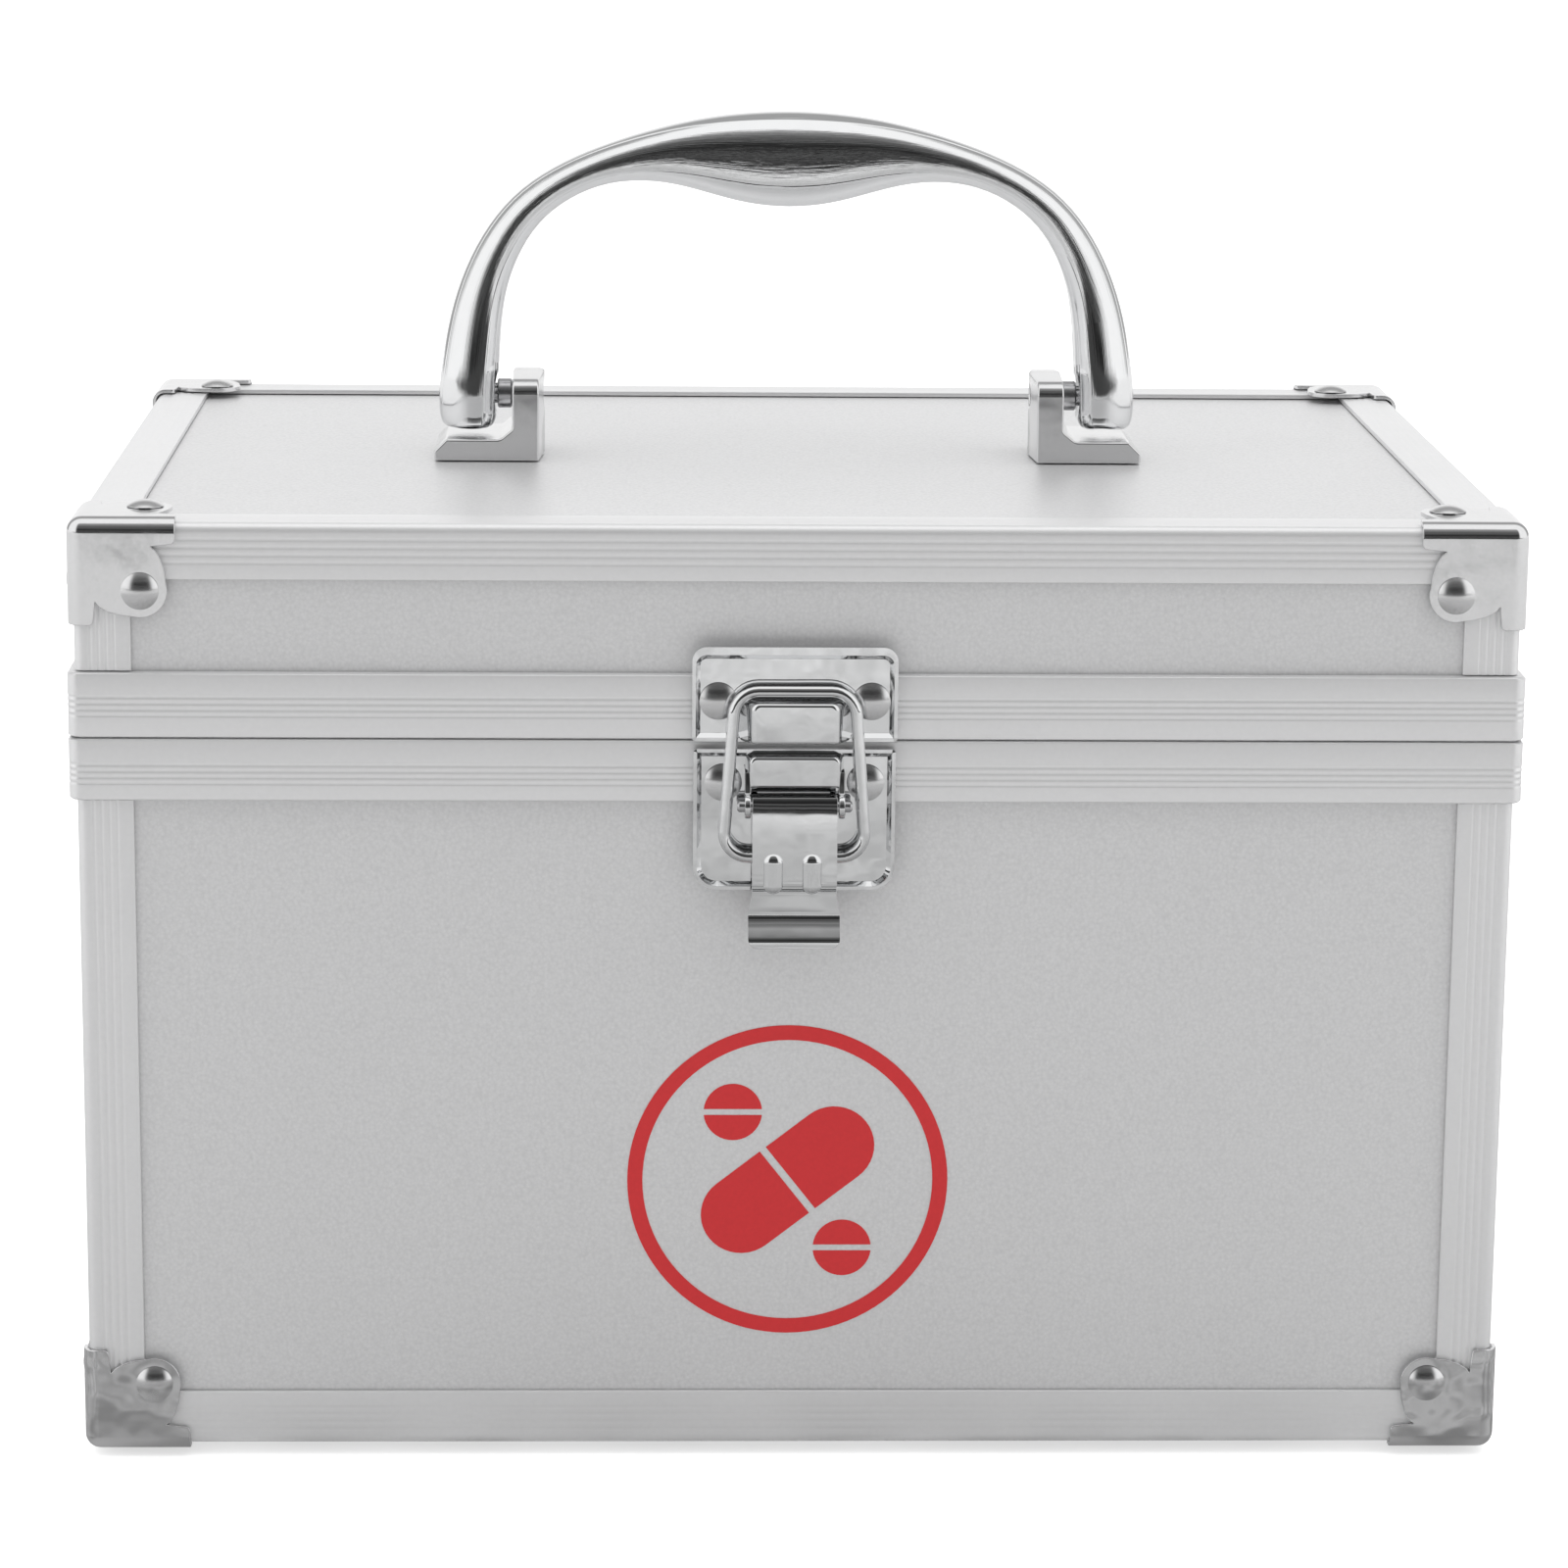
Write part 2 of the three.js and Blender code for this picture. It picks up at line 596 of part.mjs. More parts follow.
// The wire bail about its bottom bar, in XZ; it reaches over the keeper's hook
function bailGeometry() {
  const height = leverPinDrop + barDrop + hookTop + bailLift + bailWire;
  const topHalf = hookHalfWidth + bailSideGap + bailWire;
  const bottomHalf = topHalf + bailSplay;
  const rightSide = [
    ...arc(bottomHalf - bailBottomCorner, bailBottomCorner, bailBottomCorner, -90, 0, 3),
    point(bottomHalf, bailShoulderShare * height), point(topHalf, bailWaistShare * height),
    ...arc(topHalf - bailTopCorner, height - bailTopCorner, bailTopCorner, 0, 90, 3),
  ];
  const path = [...rightSide, ...rightSide.map(({ x, y }) => point(-x, y)).reverse()];
  const rows = path.map((place, index) => {
    const before = path.at(index - 1);
    const after = path[(index + 1) % path.length];
    const into = place.clone().sub(before).normalize();
    const onward = after.clone().sub(place).normalize();
    const normal = point(into.y + onward.y, -into.x - onward.x).normalize();
    const mitre = bailWire / Math.cos(into.angleTo(onward) / 2);
    return circle(0, 0, 1, bailSides).map(({ x, y }) => new THREE.Vector3(
      place.x + x * mitre * normal.x, -y * bailWire, place.y + x * mitre * normal.y,
    ));
  });
  return skinned(rows, true);
}

function addLatch(parent) {
  const latch = new THREE.Group();
  latch.position.set(latchOffset, -caseDepth / 2 - rimProud, baseHeight);
  parent.add(latch);
  addKeeper(latch);
  addCatchPlate(latch);
  addMesh(latch, 'latch_lever', leverGeometry(), 'chrome').position.set(0, -leverPinReach, -leverPinDrop);
  const bail = addMesh(latch, 'latch_bail', bailGeometry(), 'chrome');
  bail.position.set(0, barSetback - leverPinReach, -leverPinDrop - barDrop);
}

// Rear hinges, in groups at the seam on the rims' back face, where outward is +Y

// One leaf, drawn upward from the seam, with knuckles over the given spans of X
function leafSolid(knuckles) {
  const half = hingeWidth / 2;
  const front = plateBack + leafThickness;
  const plate = solid(box(-half, half, plateBack, front, barrelRadius + fitGap, leafHeight));
  const bore = circle(hingeAxisReach, 0, hingePinRadius + fitGap, barrelSides);
  const barrel = circle(hingeAxisReach, 0, barrelRadius, barrelSides);
  const web = [
    point(plateBack, barrelRadius + 2 * fitGap), point(plateBack, 0), point(front, 0),
    point(front, barrelRadius + 2 * fitGap),
  ];
  const barrels = knuckles.flatMap((reach) => (
    [barrel, web].map((outline) => extruded(outline, 'x', ...reach))
  ));
  const longBore = extruded(bore, 'x', -half - cutOverrun, half + cutOverrun);
  const seat = plateBack + leafThickness / 2;
  const heads = [-1, 1].map((side) => {
    const head = rivet(hingeRivetRadius, front + hingeRivetHead - seat, 0, 0);
    return head.translate(side * hingeRivetAcross, seat, hingeRivetRise);
  });
  return plate.add(joined(barrels)).subtract(solid(longBore)).add(joined(heads));
}

// The lug turns with the lid and meets the base leaf when the lid stands open
function lugGeometry() {
  const halfWidth = centreKnuckle / 2 - fitGap;
  const start = hingePinRadius + 2 * fitGap;
  const lug = box(-halfWidth, halfWidth, start, lugLength, -lugThickness / 2, lugThickness / 2);
  return lug.rotateX(-lugDrop).translate(0, hingeAxisReach, 0);
}

function addHinges(parent) {
  const half = hingeWidth / 2;
  const middle = centreKnuckle / 2;
  const lidLeaf = leafSolid([[fitGap / 2 - middle, middle - fitGap / 2]]).add(solid(lugGeometry()));
  const outerSpans = [[-half, -middle - fitGap / 2], [middle + fitGap / 2, half]];
  const baseLeaf = mirrored(geometryOf(leafSolid(outerSpans)), 1, 1, -1);
  for (const [name, side] of sides) {
    const hinge = new THREE.Group();
    hinge.position.set(side * hingeSpread, caseDepth / 2 + rimProud, baseHeight);
    parent.add(hinge);
    addMesh(hinge, `hinge_lid_leaf_${name}`, geometryOf(lidLeaf), 'steel');
    addMesh(hinge, `hinge_base_leaf_${name}`, baseLeaf.clone(), 'steel');
    const pin = extruded(circle(0, 0, hingePinRadius, barrelSides), 'x', -half, half);
    addMesh(hinge, `hinge_pin_${name}`, pin, 'steel').position.y = hingeAxisReach;
  }
}

// Handle and brackets, in a group on the lid board's upper face

const legInner = legSpread - legHalfThickness;
const collarEnd = legInner - fitGap;
const uprightOuter = collarEnd - handleCollar - fitGap;
const handleBoreEnd = legInner + legHalfThickness * handleBoreShare;

function bracketGeometry() {
  const inner = uprightOuter - uprightThickness;
  const outer = inner + bracketFootWidth;
  const footTop = pivotRise - legEndRadius - legClearance;
  const top = pivotRise + uprightOverPivot;
  const front = [
    point(inner, fitGap), point(outer, fitGap), point(outer, footTop - bracketFootChamfer),
    point(outer - bracketFootChamfer, footTop), point(uprightOuter + filletWidth, footTop),
    point(uprightOuter, footTop + filletHeight), point(uprightOuter, top), point(inner, top),
  ];
  const roundedHalf = bracketHalfDepth - uprightCorner;
  const side = [
    point(-bracketHalfDepth, 0), point(bracketHalfDepth, 0),
    ...arc(roundedHalf, top - uprightCorner, uprightCorner, 0, 90, 3),
    ...arc(-roundedHalf, top - uprightCorner, uprightCorner, 90, 180, 3),
  ];
  const bore = circle(0, pivotRise, handlePinRadius + fitGap, barrelSides);
  const block = solid(extruded(front, 'y', -bracketHalfDepth - cutOverrun, bracketHalfDepth + cutOverrun));
  const rounded = block.intersect(solid(extruded(side, 'x', inner - cutOverrun, outer + cutOverrun)));
  return geometryOf(rounded.subtract(solid(extruded(bore, 'x', inner - cutOverrun, outer + cutOverrun))));
}

// The cast handle about its pivot: oval sections from one leg's end over the grip to the other
function handleGeometry() {
  const legRows = legEndShares.map(([down, thick, deep]) => (
    [legSpread, down * legEndRadius, thick * legHalfThickness, deep * legEndRadius]
  ));
  const gripRows = handleShares.map(([out, up, thick, deep]) => (
    [out * legSpread, up * handleRise, thick * gripHalfHeight, deep * gripHalfDepth]
  ));
  const half = [...legRows, ...gripRows];
  const stations = [...half, ...half.slice(0, -1).reverse().map(([out, ...rest]) => [-out, ...rest])];
  const rows = stations.map(([out, up, thick, deep], index) => {
    const [outBefore, upBefore] = stations[Math.max(index - 1, 0)];
    const [outAfter, upAfter] = stations[Math.min(index + 1, stations.length - 1)];
    const along = point(outAfter - outBefore, upAfter - upBefore).normalize();
    return circle(0, 0, 1, handleSides).map(({ x, y }) => new THREE.Vector3(
      out + x * thick * along.y, -y * deep, up - x * thick * along.x,
    ));
  });
  const bore = circle(0, 0, handlePinRadius + fitGap, barrelSides);
  const boreStart = legInner - cutOverrun;
  const bores = [-1, 1].map((side) => extruded(bore, 'x', ...span(side, boreStart, handleBoreEnd)));
  return geometryOf(solid(skinned(rows, false)).subtract(joined(bores)));
}

// One pivot pin of the left side: a collar between leg and bracket, and a shaft into both
function handlePinGeometry() {
  const shaftEnd = uprightOuter - uprightThickness;
  const profile = [
    point(0, shaftEnd), point(handlePinRadius, shaftEnd), point(handlePinRadius, uprightOuter + fitGap),
    point(handleCollarRadius, uprightOuter + fitGap), point(handleCollarRadius, collarEnd),
    point(handlePinRadius, collarEnd), point(handlePinRadius, handleBoreEnd - fitGap),
    point(0, handleBoreEnd - fitGap),
  ];
  return new THREE.LatheGeometry(profile, barrelSides).rotateZ(Math.PI / 2);
}

function addHandle(parent) {
  const top = new THREE.Group();
  top.position.z = topLevel - boardInset;
  parent.add(top);
  addMesh(top, 'handle', handleGeometry(), 'chrome').position.z = pivotRise;
  const bracket = bracketGeometry();
  const pin = handlePinGeometry();
  for (const [name, side] of sides) {
    addMesh(top, `handle_bracket_${name}`, mirrored(bracket, side, 1, 1), 'cap');
    const turned = side < 0 ? pin.clone() : pin.clone().rotateZ(Math.PI);
    addMesh(top, `handle_pin_${name}`, turned, 'steel').position.z = pivotRise;
  }
}

function buildCase() {
  const group = new THREE.Group();
  group.position.set(0, (frontReach - rearReach) / 2, footHeight);
  const wallFoot = boardInset;
  const wallTop = topLevel - boardInset;
  addWalls(group, 'base', wallFoot, baseHeight - baseFlangeRise - fitGap);
  addMesh(group, 'base_board_bottom', flatBoard(boardInset), 'board');
  addPosts(group, 'base', postEndInset, baseHeight - baseRimHeight - fitGap);
  addRails(group, 'base', 0, 1);
  addWalls(group, 'lid', baseHeight + lidFlangeRise + fitGap, wallTop);
  addMesh(group, 'lid_board_top', flatBoard(wallTop - boardThickness), 'board');
  addPosts(group, 'lid', baseHeight + lidRimHeight + fitGap, topLevel - postEndInset);
  addRails(group, 'lid', topLevel, -1);
  addRims(group);
  addCaps(group);
  const lidLipEnd = baseHeight + lidFlangeRise + lipDrop;
  const baseLining = liningTray(boardInner + fitGap, baseHeight - baseFlangeRise - lipDrop - fitGap);
  const lidLining = liningTray(topLevel - boardInner - fitGap, lidLipEnd + fitGap);
  addMesh(group, 'base_lining', baseLining, 'lining');
  addMesh(group, 'lid_lining', lidLining, 'lining');
  addLatch(group);
  addHinges(group);
  addHandle(group);
  return group;
}

export default buildCase();
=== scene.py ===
"""Looks of a medication lock box: boards in an aluminium frame, draw latch, rear hinges and handle.

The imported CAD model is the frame. Its boards stay as they are and get their finish here; rails, posts, rims,
caps, latch, hinges, handle and lining are modelled finer in the same places. Sizes in the classes are in
millimetres.
"""

from __future__ import annotations

import json
import logging
import math
from dataclasses import dataclass, replace
from enum import Enum
from itertools import pairwise
from typing import Callable, Iterable, Sequence

import bmesh
import bpy
from mathutils import Matrix, Vector


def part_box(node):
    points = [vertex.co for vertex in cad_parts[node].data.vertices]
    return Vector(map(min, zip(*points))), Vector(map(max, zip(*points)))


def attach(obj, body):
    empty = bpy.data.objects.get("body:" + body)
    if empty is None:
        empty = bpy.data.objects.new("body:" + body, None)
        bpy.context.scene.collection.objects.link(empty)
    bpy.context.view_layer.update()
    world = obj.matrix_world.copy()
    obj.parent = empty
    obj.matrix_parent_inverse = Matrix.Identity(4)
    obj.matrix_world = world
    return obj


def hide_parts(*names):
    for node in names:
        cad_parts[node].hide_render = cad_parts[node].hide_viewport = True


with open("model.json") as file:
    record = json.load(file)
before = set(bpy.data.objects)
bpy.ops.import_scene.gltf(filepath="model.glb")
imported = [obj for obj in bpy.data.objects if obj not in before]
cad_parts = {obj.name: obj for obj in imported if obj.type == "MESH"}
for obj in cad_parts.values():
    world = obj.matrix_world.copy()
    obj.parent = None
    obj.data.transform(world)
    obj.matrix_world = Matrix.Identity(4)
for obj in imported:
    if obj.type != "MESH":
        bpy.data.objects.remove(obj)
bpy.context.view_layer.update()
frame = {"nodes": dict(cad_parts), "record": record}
LOG = logging.getLogger("lock_box")
MM = 0.001

Piece = bpy.types.Object
Socket = bpy.types.NodeSocket
Pair = tuple[float, float]
Triple = tuple[float, float, float]

# How near two points are one, how near they are level, and how much of a normal lies along the axis it faces
MERGE = 0.002
FINE_MERGE = 0.0005
LEVEL = 0.01
FACING = 0.9


class Axis(Enum):
    """A direction in the part's frame."""

    X = Vector((1, 0, 0))
    Y = Vector((0, 1, 0))
    Z = Vector((0, 0, 1))


class Body(Enum):
    """The moving bodies of the CAD model."""

    BASE = "base"
    LID = "lid"
    HANDLE = "handle"
    LEVER = "lever"
    BAIL = "bail"


class Slot(Enum):
    """The record's material slots."""

    BOARD = "board"
    FRAME = "frame"
    CAP = "cap"
    CHROME = "chrome"
    STEEL = "steel"
    LINING = "lining"


SIDES = {"left": -1, "right": 1}
ENDS = {"front": -1, "back": 1}


# Places taken from the frame


def joint_place(name: str) -> Vector:
    """Gives a joint's place at rest, in millimetres."""
    joint = next(entry for entry in frame["record"]["behaviour"]["joints"] if entry["name"] == name)
    return Vector(joint["pos_m"]) / MM


def node_box(name: str) -> tuple[Vector, Vector]:
    """Gives the lowest and highest corners of a CAD node's box at rest, in millimetres."""
    low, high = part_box(name)
    return low / MM, high / MM


# The bench: modelling moves that every class uses


def clear_selection() -> None:
    """Leaves edit mode and deselects every object."""
    if bpy.context.object and bpy.context.object.mode != "OBJECT":
        bpy.ops.object.mode_set(mode="OBJECT")
    bpy.ops.object.select_all(action="DESELECT")


def activate(piece: Piece) -> None:
    """Makes one object the only selected and active one.

    Args:
        piece: The object to work on.
    """
    clear_selection()
    piece.select_set(True)
    bpy.context.view_layer.objects.active = piece


def edit(piece: Piece) -> None:
    """Enters edit mode on an object."""
    activate(piece)
    bpy.ops.object.mode_set(mode="EDIT")


def leave_edit() -> None:
    """Returns to object mode."""
    bpy.ops.object.mode_set(mode="OBJECT")


def select_everything() -> None:
    """Selects all of the edit mesh, by its points."""
    bpy.ops.mesh.select_mode(type="VERT")
    bpy.ops.mesh.select_all(action="SELECT")


def pick(piece: Piece, kind: str, test: Callable[[object], bool]) -> None:
    """Selects the parts of the edit mesh that pass a test, and nothing else.

    Args:
        piece: The object in edit mode.
        kind: The element kind: VERT, EDGE or FACE.
        test: Tells whether an element is wanted.
    """
    bpy.ops.mesh.select_mode(type=kind)
    bpy.ops.mesh.select_all(action="DESELECT")
    mesh = bmesh.from_edit_mesh(piece.data)
    elements = {"VERT": mesh.verts, "EDGE": mesh.edges, "FACE": mesh.faces}[kind]
    for element in [element for element in elements if test(element)]:
        element.select_set(True)
    mesh.select_flush_mode()
    bmesh.update_edit_mesh(piece.data)


def extrude(move: Vector) -> None:
    """Extrudes what is selected in edit mode by a move in millimetres."""
    bpy.ops.mesh.extrude_region_move(TRANSFORM_OT_translate={"value": move * MM})


def named(name: str) -> Piece:
    """Names the primitive just added and puts its place into its mesh.

    Args:
        name: Its name.

    Returns:
        The new object.
    """
    piece = bpy.context.object
    piece.name = name
    bpy.ops.object.transform_apply()
    return piece


def tidy_shell(piece: Piece, distance: float = MERGE) -> None:
    """Merges doubled points and turns all faces outward.

    Args:
        piece: The object to tidy.
        distance: How near two points are one, in millimetres.
    """
    edit(piece)
    select_everything()
    bpy.ops.mesh.remove_doubles(threshold=distance * MM)
    bpy.ops.mesh.normals_make_consistent(inside=False)
    leave_edit()


def draw_line(name: str, points: Sequence[Vector]) -> Piece:
    """Draws a line of edges by extruding one point from place to place, and stays in edit mode.

    Args:
        name: The new object's name.
        points: The places, in millimetres.

    Returns:
        The new object.
    """
    clear_selection()
    bpy.ops.mesh.primitive_plane_add(size=MM, location=points[0] * MM)
    piece = named(name)
    edit(piece)
    select_everything()
    bpy.ops.mesh.merge(type="CENTER")
    for start, end in pairwise(points):
        bpy.ops.mesh.extrude_vertices_move(TRANSFORM_OT_translate={"value": (end - start) * MM})
    return piece


def prism(name: str, outline: Sequence[Vector], depth: Vector) -> Piece:
    """Makes a closed solid by filling an outline and extruding it.

    Args:
        name: The new object's name.
        outline: The outline's corners in order, in millimetres.
        depth: The way and length of the extrusion, in millimetres.

    Returns:
        The new object.
    """
    piece = draw_line(name, [*outline, outline[0]])
    select_everything()
    bpy.ops.mesh.remove_doubles(threshold=FINE_MERGE * MM)
    bpy.ops.mesh.edge_face_add()
    select_everything()
    extrude(depth)
    leave_edit()
    tidy_shell(piece, FINE_MERGE)
    return piece


def turned(name: str, profile: Sequence[Pair], centre: Vector, axis: Vector, steps: int = 32) -> Piece:
    """Spins a profile into a round solid.

    Args:
        name: The new object's name.
        profile: Pairs of radius and height along the axis, from the axis back to it or closed on itself.
        centre: The place on the axis where the height is zero, in millimetres.
        axis: The unit direction of the axis.
        steps: Faces round the axis.

    Returns:
        The new object.
    """
    across = axis.orthogonal().normalized()
    piece = draw_line(name, [centre + across * radius + axis * height for radius, height in profile])
    select_everything()
    bpy.ops.mesh.spin(steps=steps, angle=math.tau, center=centre * MM, axis=axis)
    leave_edit()
    tidy_shell(piece)
    return piece


def block(name: str, low: Vector, high: Vector) -> Piece:
    """Adds a cube primitive that fills a box, for shaping.

    Args:
        name: The new object's name.
        low: The lowest corner, in millimetres.
        high: The highest corner, in millimetres.

    Returns:
        The new object.
    """
    clear_selection()
    bpy.ops.mesh.primitive_cube_add(size=1, location=(low + high) / 2 * MM, scale=(high - low) * MM)
    return named(name)


def modify(piece: Piece, kind: str, **settings: object) -> None:
    """Adds a modifier and applies it.

    Args:
        piece: The object to change.
        kind: The modifier's type.
        **settings: The modifier's own settings.
    """
    activate(piece)
    modifier = piece.modifiers.new(kind.lower(), kind)
    for key, value in settings.items():
        setattr(modifier, key, value)
    bpy.ops.object.modifier_apply(modifier=modifier.name)


def soften(piece: Piece, width: float, segments: int = 2, angle: float = 30) -> None:
    """Rounds a piece's edges sharper than an angle in degrees, by a width in millimetres."""
    modify(piece, "BEVEL", width=width * MM, segments=segments, limit_method="ANGLE",
           angle_limit=math.radians(angle), use_clamp_overlap=True, miter_outer="MITER_ARC")


def combine(piece: Piece, tool: Piece, operation: str) -> None:
    """Joins or cuts a piece by another, which is used up: UNION, DIFFERENCE or INTERSECT."""
    modify(piece, "BOOLEAN", object=tool, operation=operation, solver="EXACT")
    bpy.data.objects.remove(tool)


def joined(name: str, parts: Sequence[Piece]) -> Piece:
    """Gathers several objects into one, each as its own shell.

    Args:
        name: The name of the result.
        parts: The objects; the first one takes the others in.

    Returns:
        The gathered object.
    """
    activate(parts[0])
    for part in parts[1:]:
        part.select_set(True)
    bpy.ops.object.join()
    parts[0].name = name
    return parts[0]


def twin(piece: Piece, name: str, change: Matrix) -> Piece:
    """Copies a piece with its own mesh and places the copy.

    Args:
        piece: The object to copy.
        name: The copy's name.
        change: The placement, in metres; a mirror image is turned right side out.

    Returns:
        The copy.
    """
    copy = piece.copy()
    copy.data = piece.data.copy()
    copy.name = name
    bpy.context.collection.objects.link(copy)
    copy.data.transform(change)
    if change.determinant() < 0:
        copy.data.flip_normals()
    return copy


def mirror(x: int, y: int = 1, z: int = 1) -> Matrix:
    """Builds a mirror about the origin's planes from the signs along X, Y and Z."""
    return Matrix.Diagonal((x, y, z, 1))


def arc(centre: Pair, radius: float, start: float, end: float, steps: int) -> list[Pair]:
    """Lists the points of an arc between two angles in degrees, ends included."""
    angles = [math.radians(start + (end - start) * step / steps) for step in range(steps + 1)]
    return [(centre[0] + radius * math.cos(angle), centre[1] + radius * math.sin(angle)) for angle in angles]


def in_xz(points: Iterable[Pair], y: float) -> list[Vector]:
    """Sets pairs of x and z upright in the XZ plane at y."""
    return [Vector((x, y, z)) for x, z in points]


def in_yz(points: Iterable[Pair], x: float) -> list[Vector]:
    """Sets pairs of y and z upright in the YZ plane at x."""
    return [Vector((x, y, z)) for y, z in points]


def in_xy(points: Iterable[Pair], z: float) -> list[Vector]:
    """Lays pairs of x and y flat at the height z."""
    return [Vector((x, y, z)) for x, y in points]


def dress(
    piece: Piece, finish: Finish, body: Body, nodes: Sequence[str] = (), smooth: float = 35
) -> Piece:
    """Finishes a piece: shading, material, the body that it moves with and the nodes that it stands for.

    Args:
        piece: The finished shape.
        finish: Its surface.
        body: The body it rides on.
        nodes: The CAD nodes that it replaces.
        smooth: Edges under this many degrees are shaded smooth.

    Returns:
        The same piece.
    """
    activate(piece)
    bpy.ops.object.transform_apply()
    bpy.ops.object.shade_smooth_by_angle(angle=math.radians(smooth))
    modify(piece, "WEIGHTED_NORMAL", keep_sharp=True)
    piece.data.materials.clear()
    piece.data.materials.append(finish.material())
    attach(piece, body.value)
    if nodes:
        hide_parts(*nodes)
    LOG.info("%s: %d faces on %s", piece.name, len(piece.data.polygons), body.value)
    return piece


# Finishes


class Effect(Enum):
    """Surface effects shared by several finishes, each one node group."""

    GRAIN = "fine_grain"
    MARKS = "handling_marks"
    DRAWN = "drawn_lines"
    DUST = "settled_dust"


class Shader:
    """A node tree under construction."""

    def __init__(self, tree: bpy.types.NodeTree) -> None:
        """Starts on a node tree."""
        self.tree = tree

    def node(self, kind: str, inputs: dict[str, object] | None = None, **settings: object) -> bpy.types.Node:
        """Adds a node.

        Args:
            kind: The node's type name.
            inputs: Values or output sockets for its inputs, by name or place.
            **settings: The node's own settings.

        Returns:
            The node.
        """
        made = self.tree.nodes.new(kind)
        for key, value in settings.items():
            setattr(made, key, value)
        for key, value in (inputs or {}).items():
            if isinstance(value, Socket):
                self.tree.links.new(value, made.inputs[key])
            else:
                made.inputs[key].default_value = value
        return made

    def math(self, operation: str, *values: object) -> Socket:
        """Adds a math node on numbers or sockets, and gives its result."""
        return self.node("ShaderNodeMath", dict(enumerate(values)), operation=operation).outputs[0]

    def blend(self, factor: object, first: object, second: object) -> Socket:
        """Mixes two colours or sockets; the factor is the share of the second."""
        return self.node("ShaderNodeMix", {0: factor, 6: first, 7: second}, data_type="RGBA").outputs[2]

    def noise(self, place: object, scale: object, detail: float, **others: float) -> Socket:
        """Adds a noise texture and gives its value; the others set more of its inputs."""
        inputs = {"Vector": place, "Scale": scale, "Detail": detail, **others}
        return self.node("ShaderNodeTexNoise", inputs).outputs[0]

    def plus(self, first: object, second: object) -> Socket:
        """Adds two numbers or sockets."""
        return self.math("ADD", first, second)

    def times(self, first: object, second: object) -> Socket:
        """Multiplies two numbers or sockets."""
        return self.math("MULTIPLY", first, second)

    def mix(self, factor: object, first: object, second: object) -> Socket:
        """Mixes two numbers or sockets; the factor is the share of the second."""
        return self.node("ShaderNodeMix", {0: factor, 2: first, 3: second}, data_type="FLOAT").outputs[0]

    def span(self, value: object, low: float, high: float, to_low: float = 0, to_high: float = 1) -> Socket:
        """Maps the range from low to high to another one, held at its ends."""
        return self.node("ShaderNodeMapRange", {0: value, 1: low, 2: high, 3: to_low, 4: to_high}).outputs[0]


class EffectLibrary:
    """Builds each shared effect once, as a node group that gives a mask."""

    groups: dict[Effect, bpy.types.NodeTree] = {}

    @classmethod
    def group(cls, effect: Effect) -> bpy.types.NodeTree:
        """Gives an effect's group, built on first use.

        Args:
            effect: Which effect.

        Returns:
            The group's tree.
        """
        if effect not in cls.groups:
            tree = bpy.data.node_groups.new(effect.value, "ShaderNodeTree")
            tree.interface.new_socket("Place", in_out="INPUT", socket_type="NodeSocketVector")
            tree.interface.new_socket("Scale", in_out="INPUT", socket_type="NodeSocketFloat")
            tree.interface.new_socket("Mask", in_out="OUTPUT", socket_type="NodeSocketFloat")
            shader = Shader(tree)
            entry = shader.node("NodeGroupInput")
            mask = getattr(cls, effect.value)(shader, entry.outputs["Place"], entry.outputs["Scale"])
            shader.node("NodeGroupOutput", {"Mask": mask})
            cls.groups[effect] = tree
        return cls.groups[effect]

    @staticmethod
    def fine_grain(shader: Shader, place: Socket, scale: Socket) -> Socket:
        """Makes an even grain with small bright specks.

        Args:
            shader: The tree under construction.
            place: The place on the surface.
            scale: The grain's scale.

        Returns:
            The mask's socket.
        """
        even = shader.noise(place, scale, 5.0, Roughness=0.62)
        cells = shader.node("ShaderNodeTexVoronoi", {"Vector": place, "Scale": scale}, feature="F1")
        specks = shader.span(cells.outputs["Distance"], 0.0, 0.9)
        return shader.plus(shader.times(even, 0.7), shader.times(specks, 0.3))

    @staticmethod
    def handling_marks(shader: Shader, place: Socket, scale: Socket) -> Socket:
        """Makes faint smears and finger marks.

        Args:
            shader: The tree under construction.
            place: The place on the surface.
            scale: The marks' scale.

        Returns:
            The mask's socket.
        """
        wide = shader.noise(place, scale, 3.0, Distortion=0.8)
        fine = shader.noise(place, shader.times(scale, 9.0), 4.0)
        patch = shader.span(wide, 0.48, 0.68)
        return shader.times(patch, shader.span(fine, 0.3, 0.75))

    @staticmethod
    def drawn_lines(shader: Shader, place: Socket, scale: Socket) -> Socket:
        """Makes the fine lines of drawn or brushed metal; the stretch sets their direction.

        Args:
            shader: The tree under construction.
            place: The place on the surface.
            scale: The lines' scale.

        Returns:
            The mask's socket.
        """
        coarse = shader.noise(place, scale, 2.0)
        fine = shader.noise(place, shader.times(scale, 4.0), 3.0)
        return shader.plus(shader.times(coarse, 0.5), shader.times(fine, 0.5))

    @staticmethod
    def settled_dust(shader: Shader, place: Socket, scale: Socket) -> Socket:
        """Makes dust that lies only on faces turned up.

        Args:
            shader: The tree under construction.
            place: The place on the surface.
            scale: The dust's scale.

        Returns:
            The mask's socket.
        """
        normal = shader.node("ShaderNodeNewGeometry").outputs["Normal"]
        up = shader.node("ShaderNodeSeparateXYZ", {0: normal}).outputs[2]
        specks = shader.noise(place, scale, 6.0, Roughness=0.7)
        return shader.times(shader.span(up, 0.6, 0.95), shader.span(specks, 0.5, 0.8))


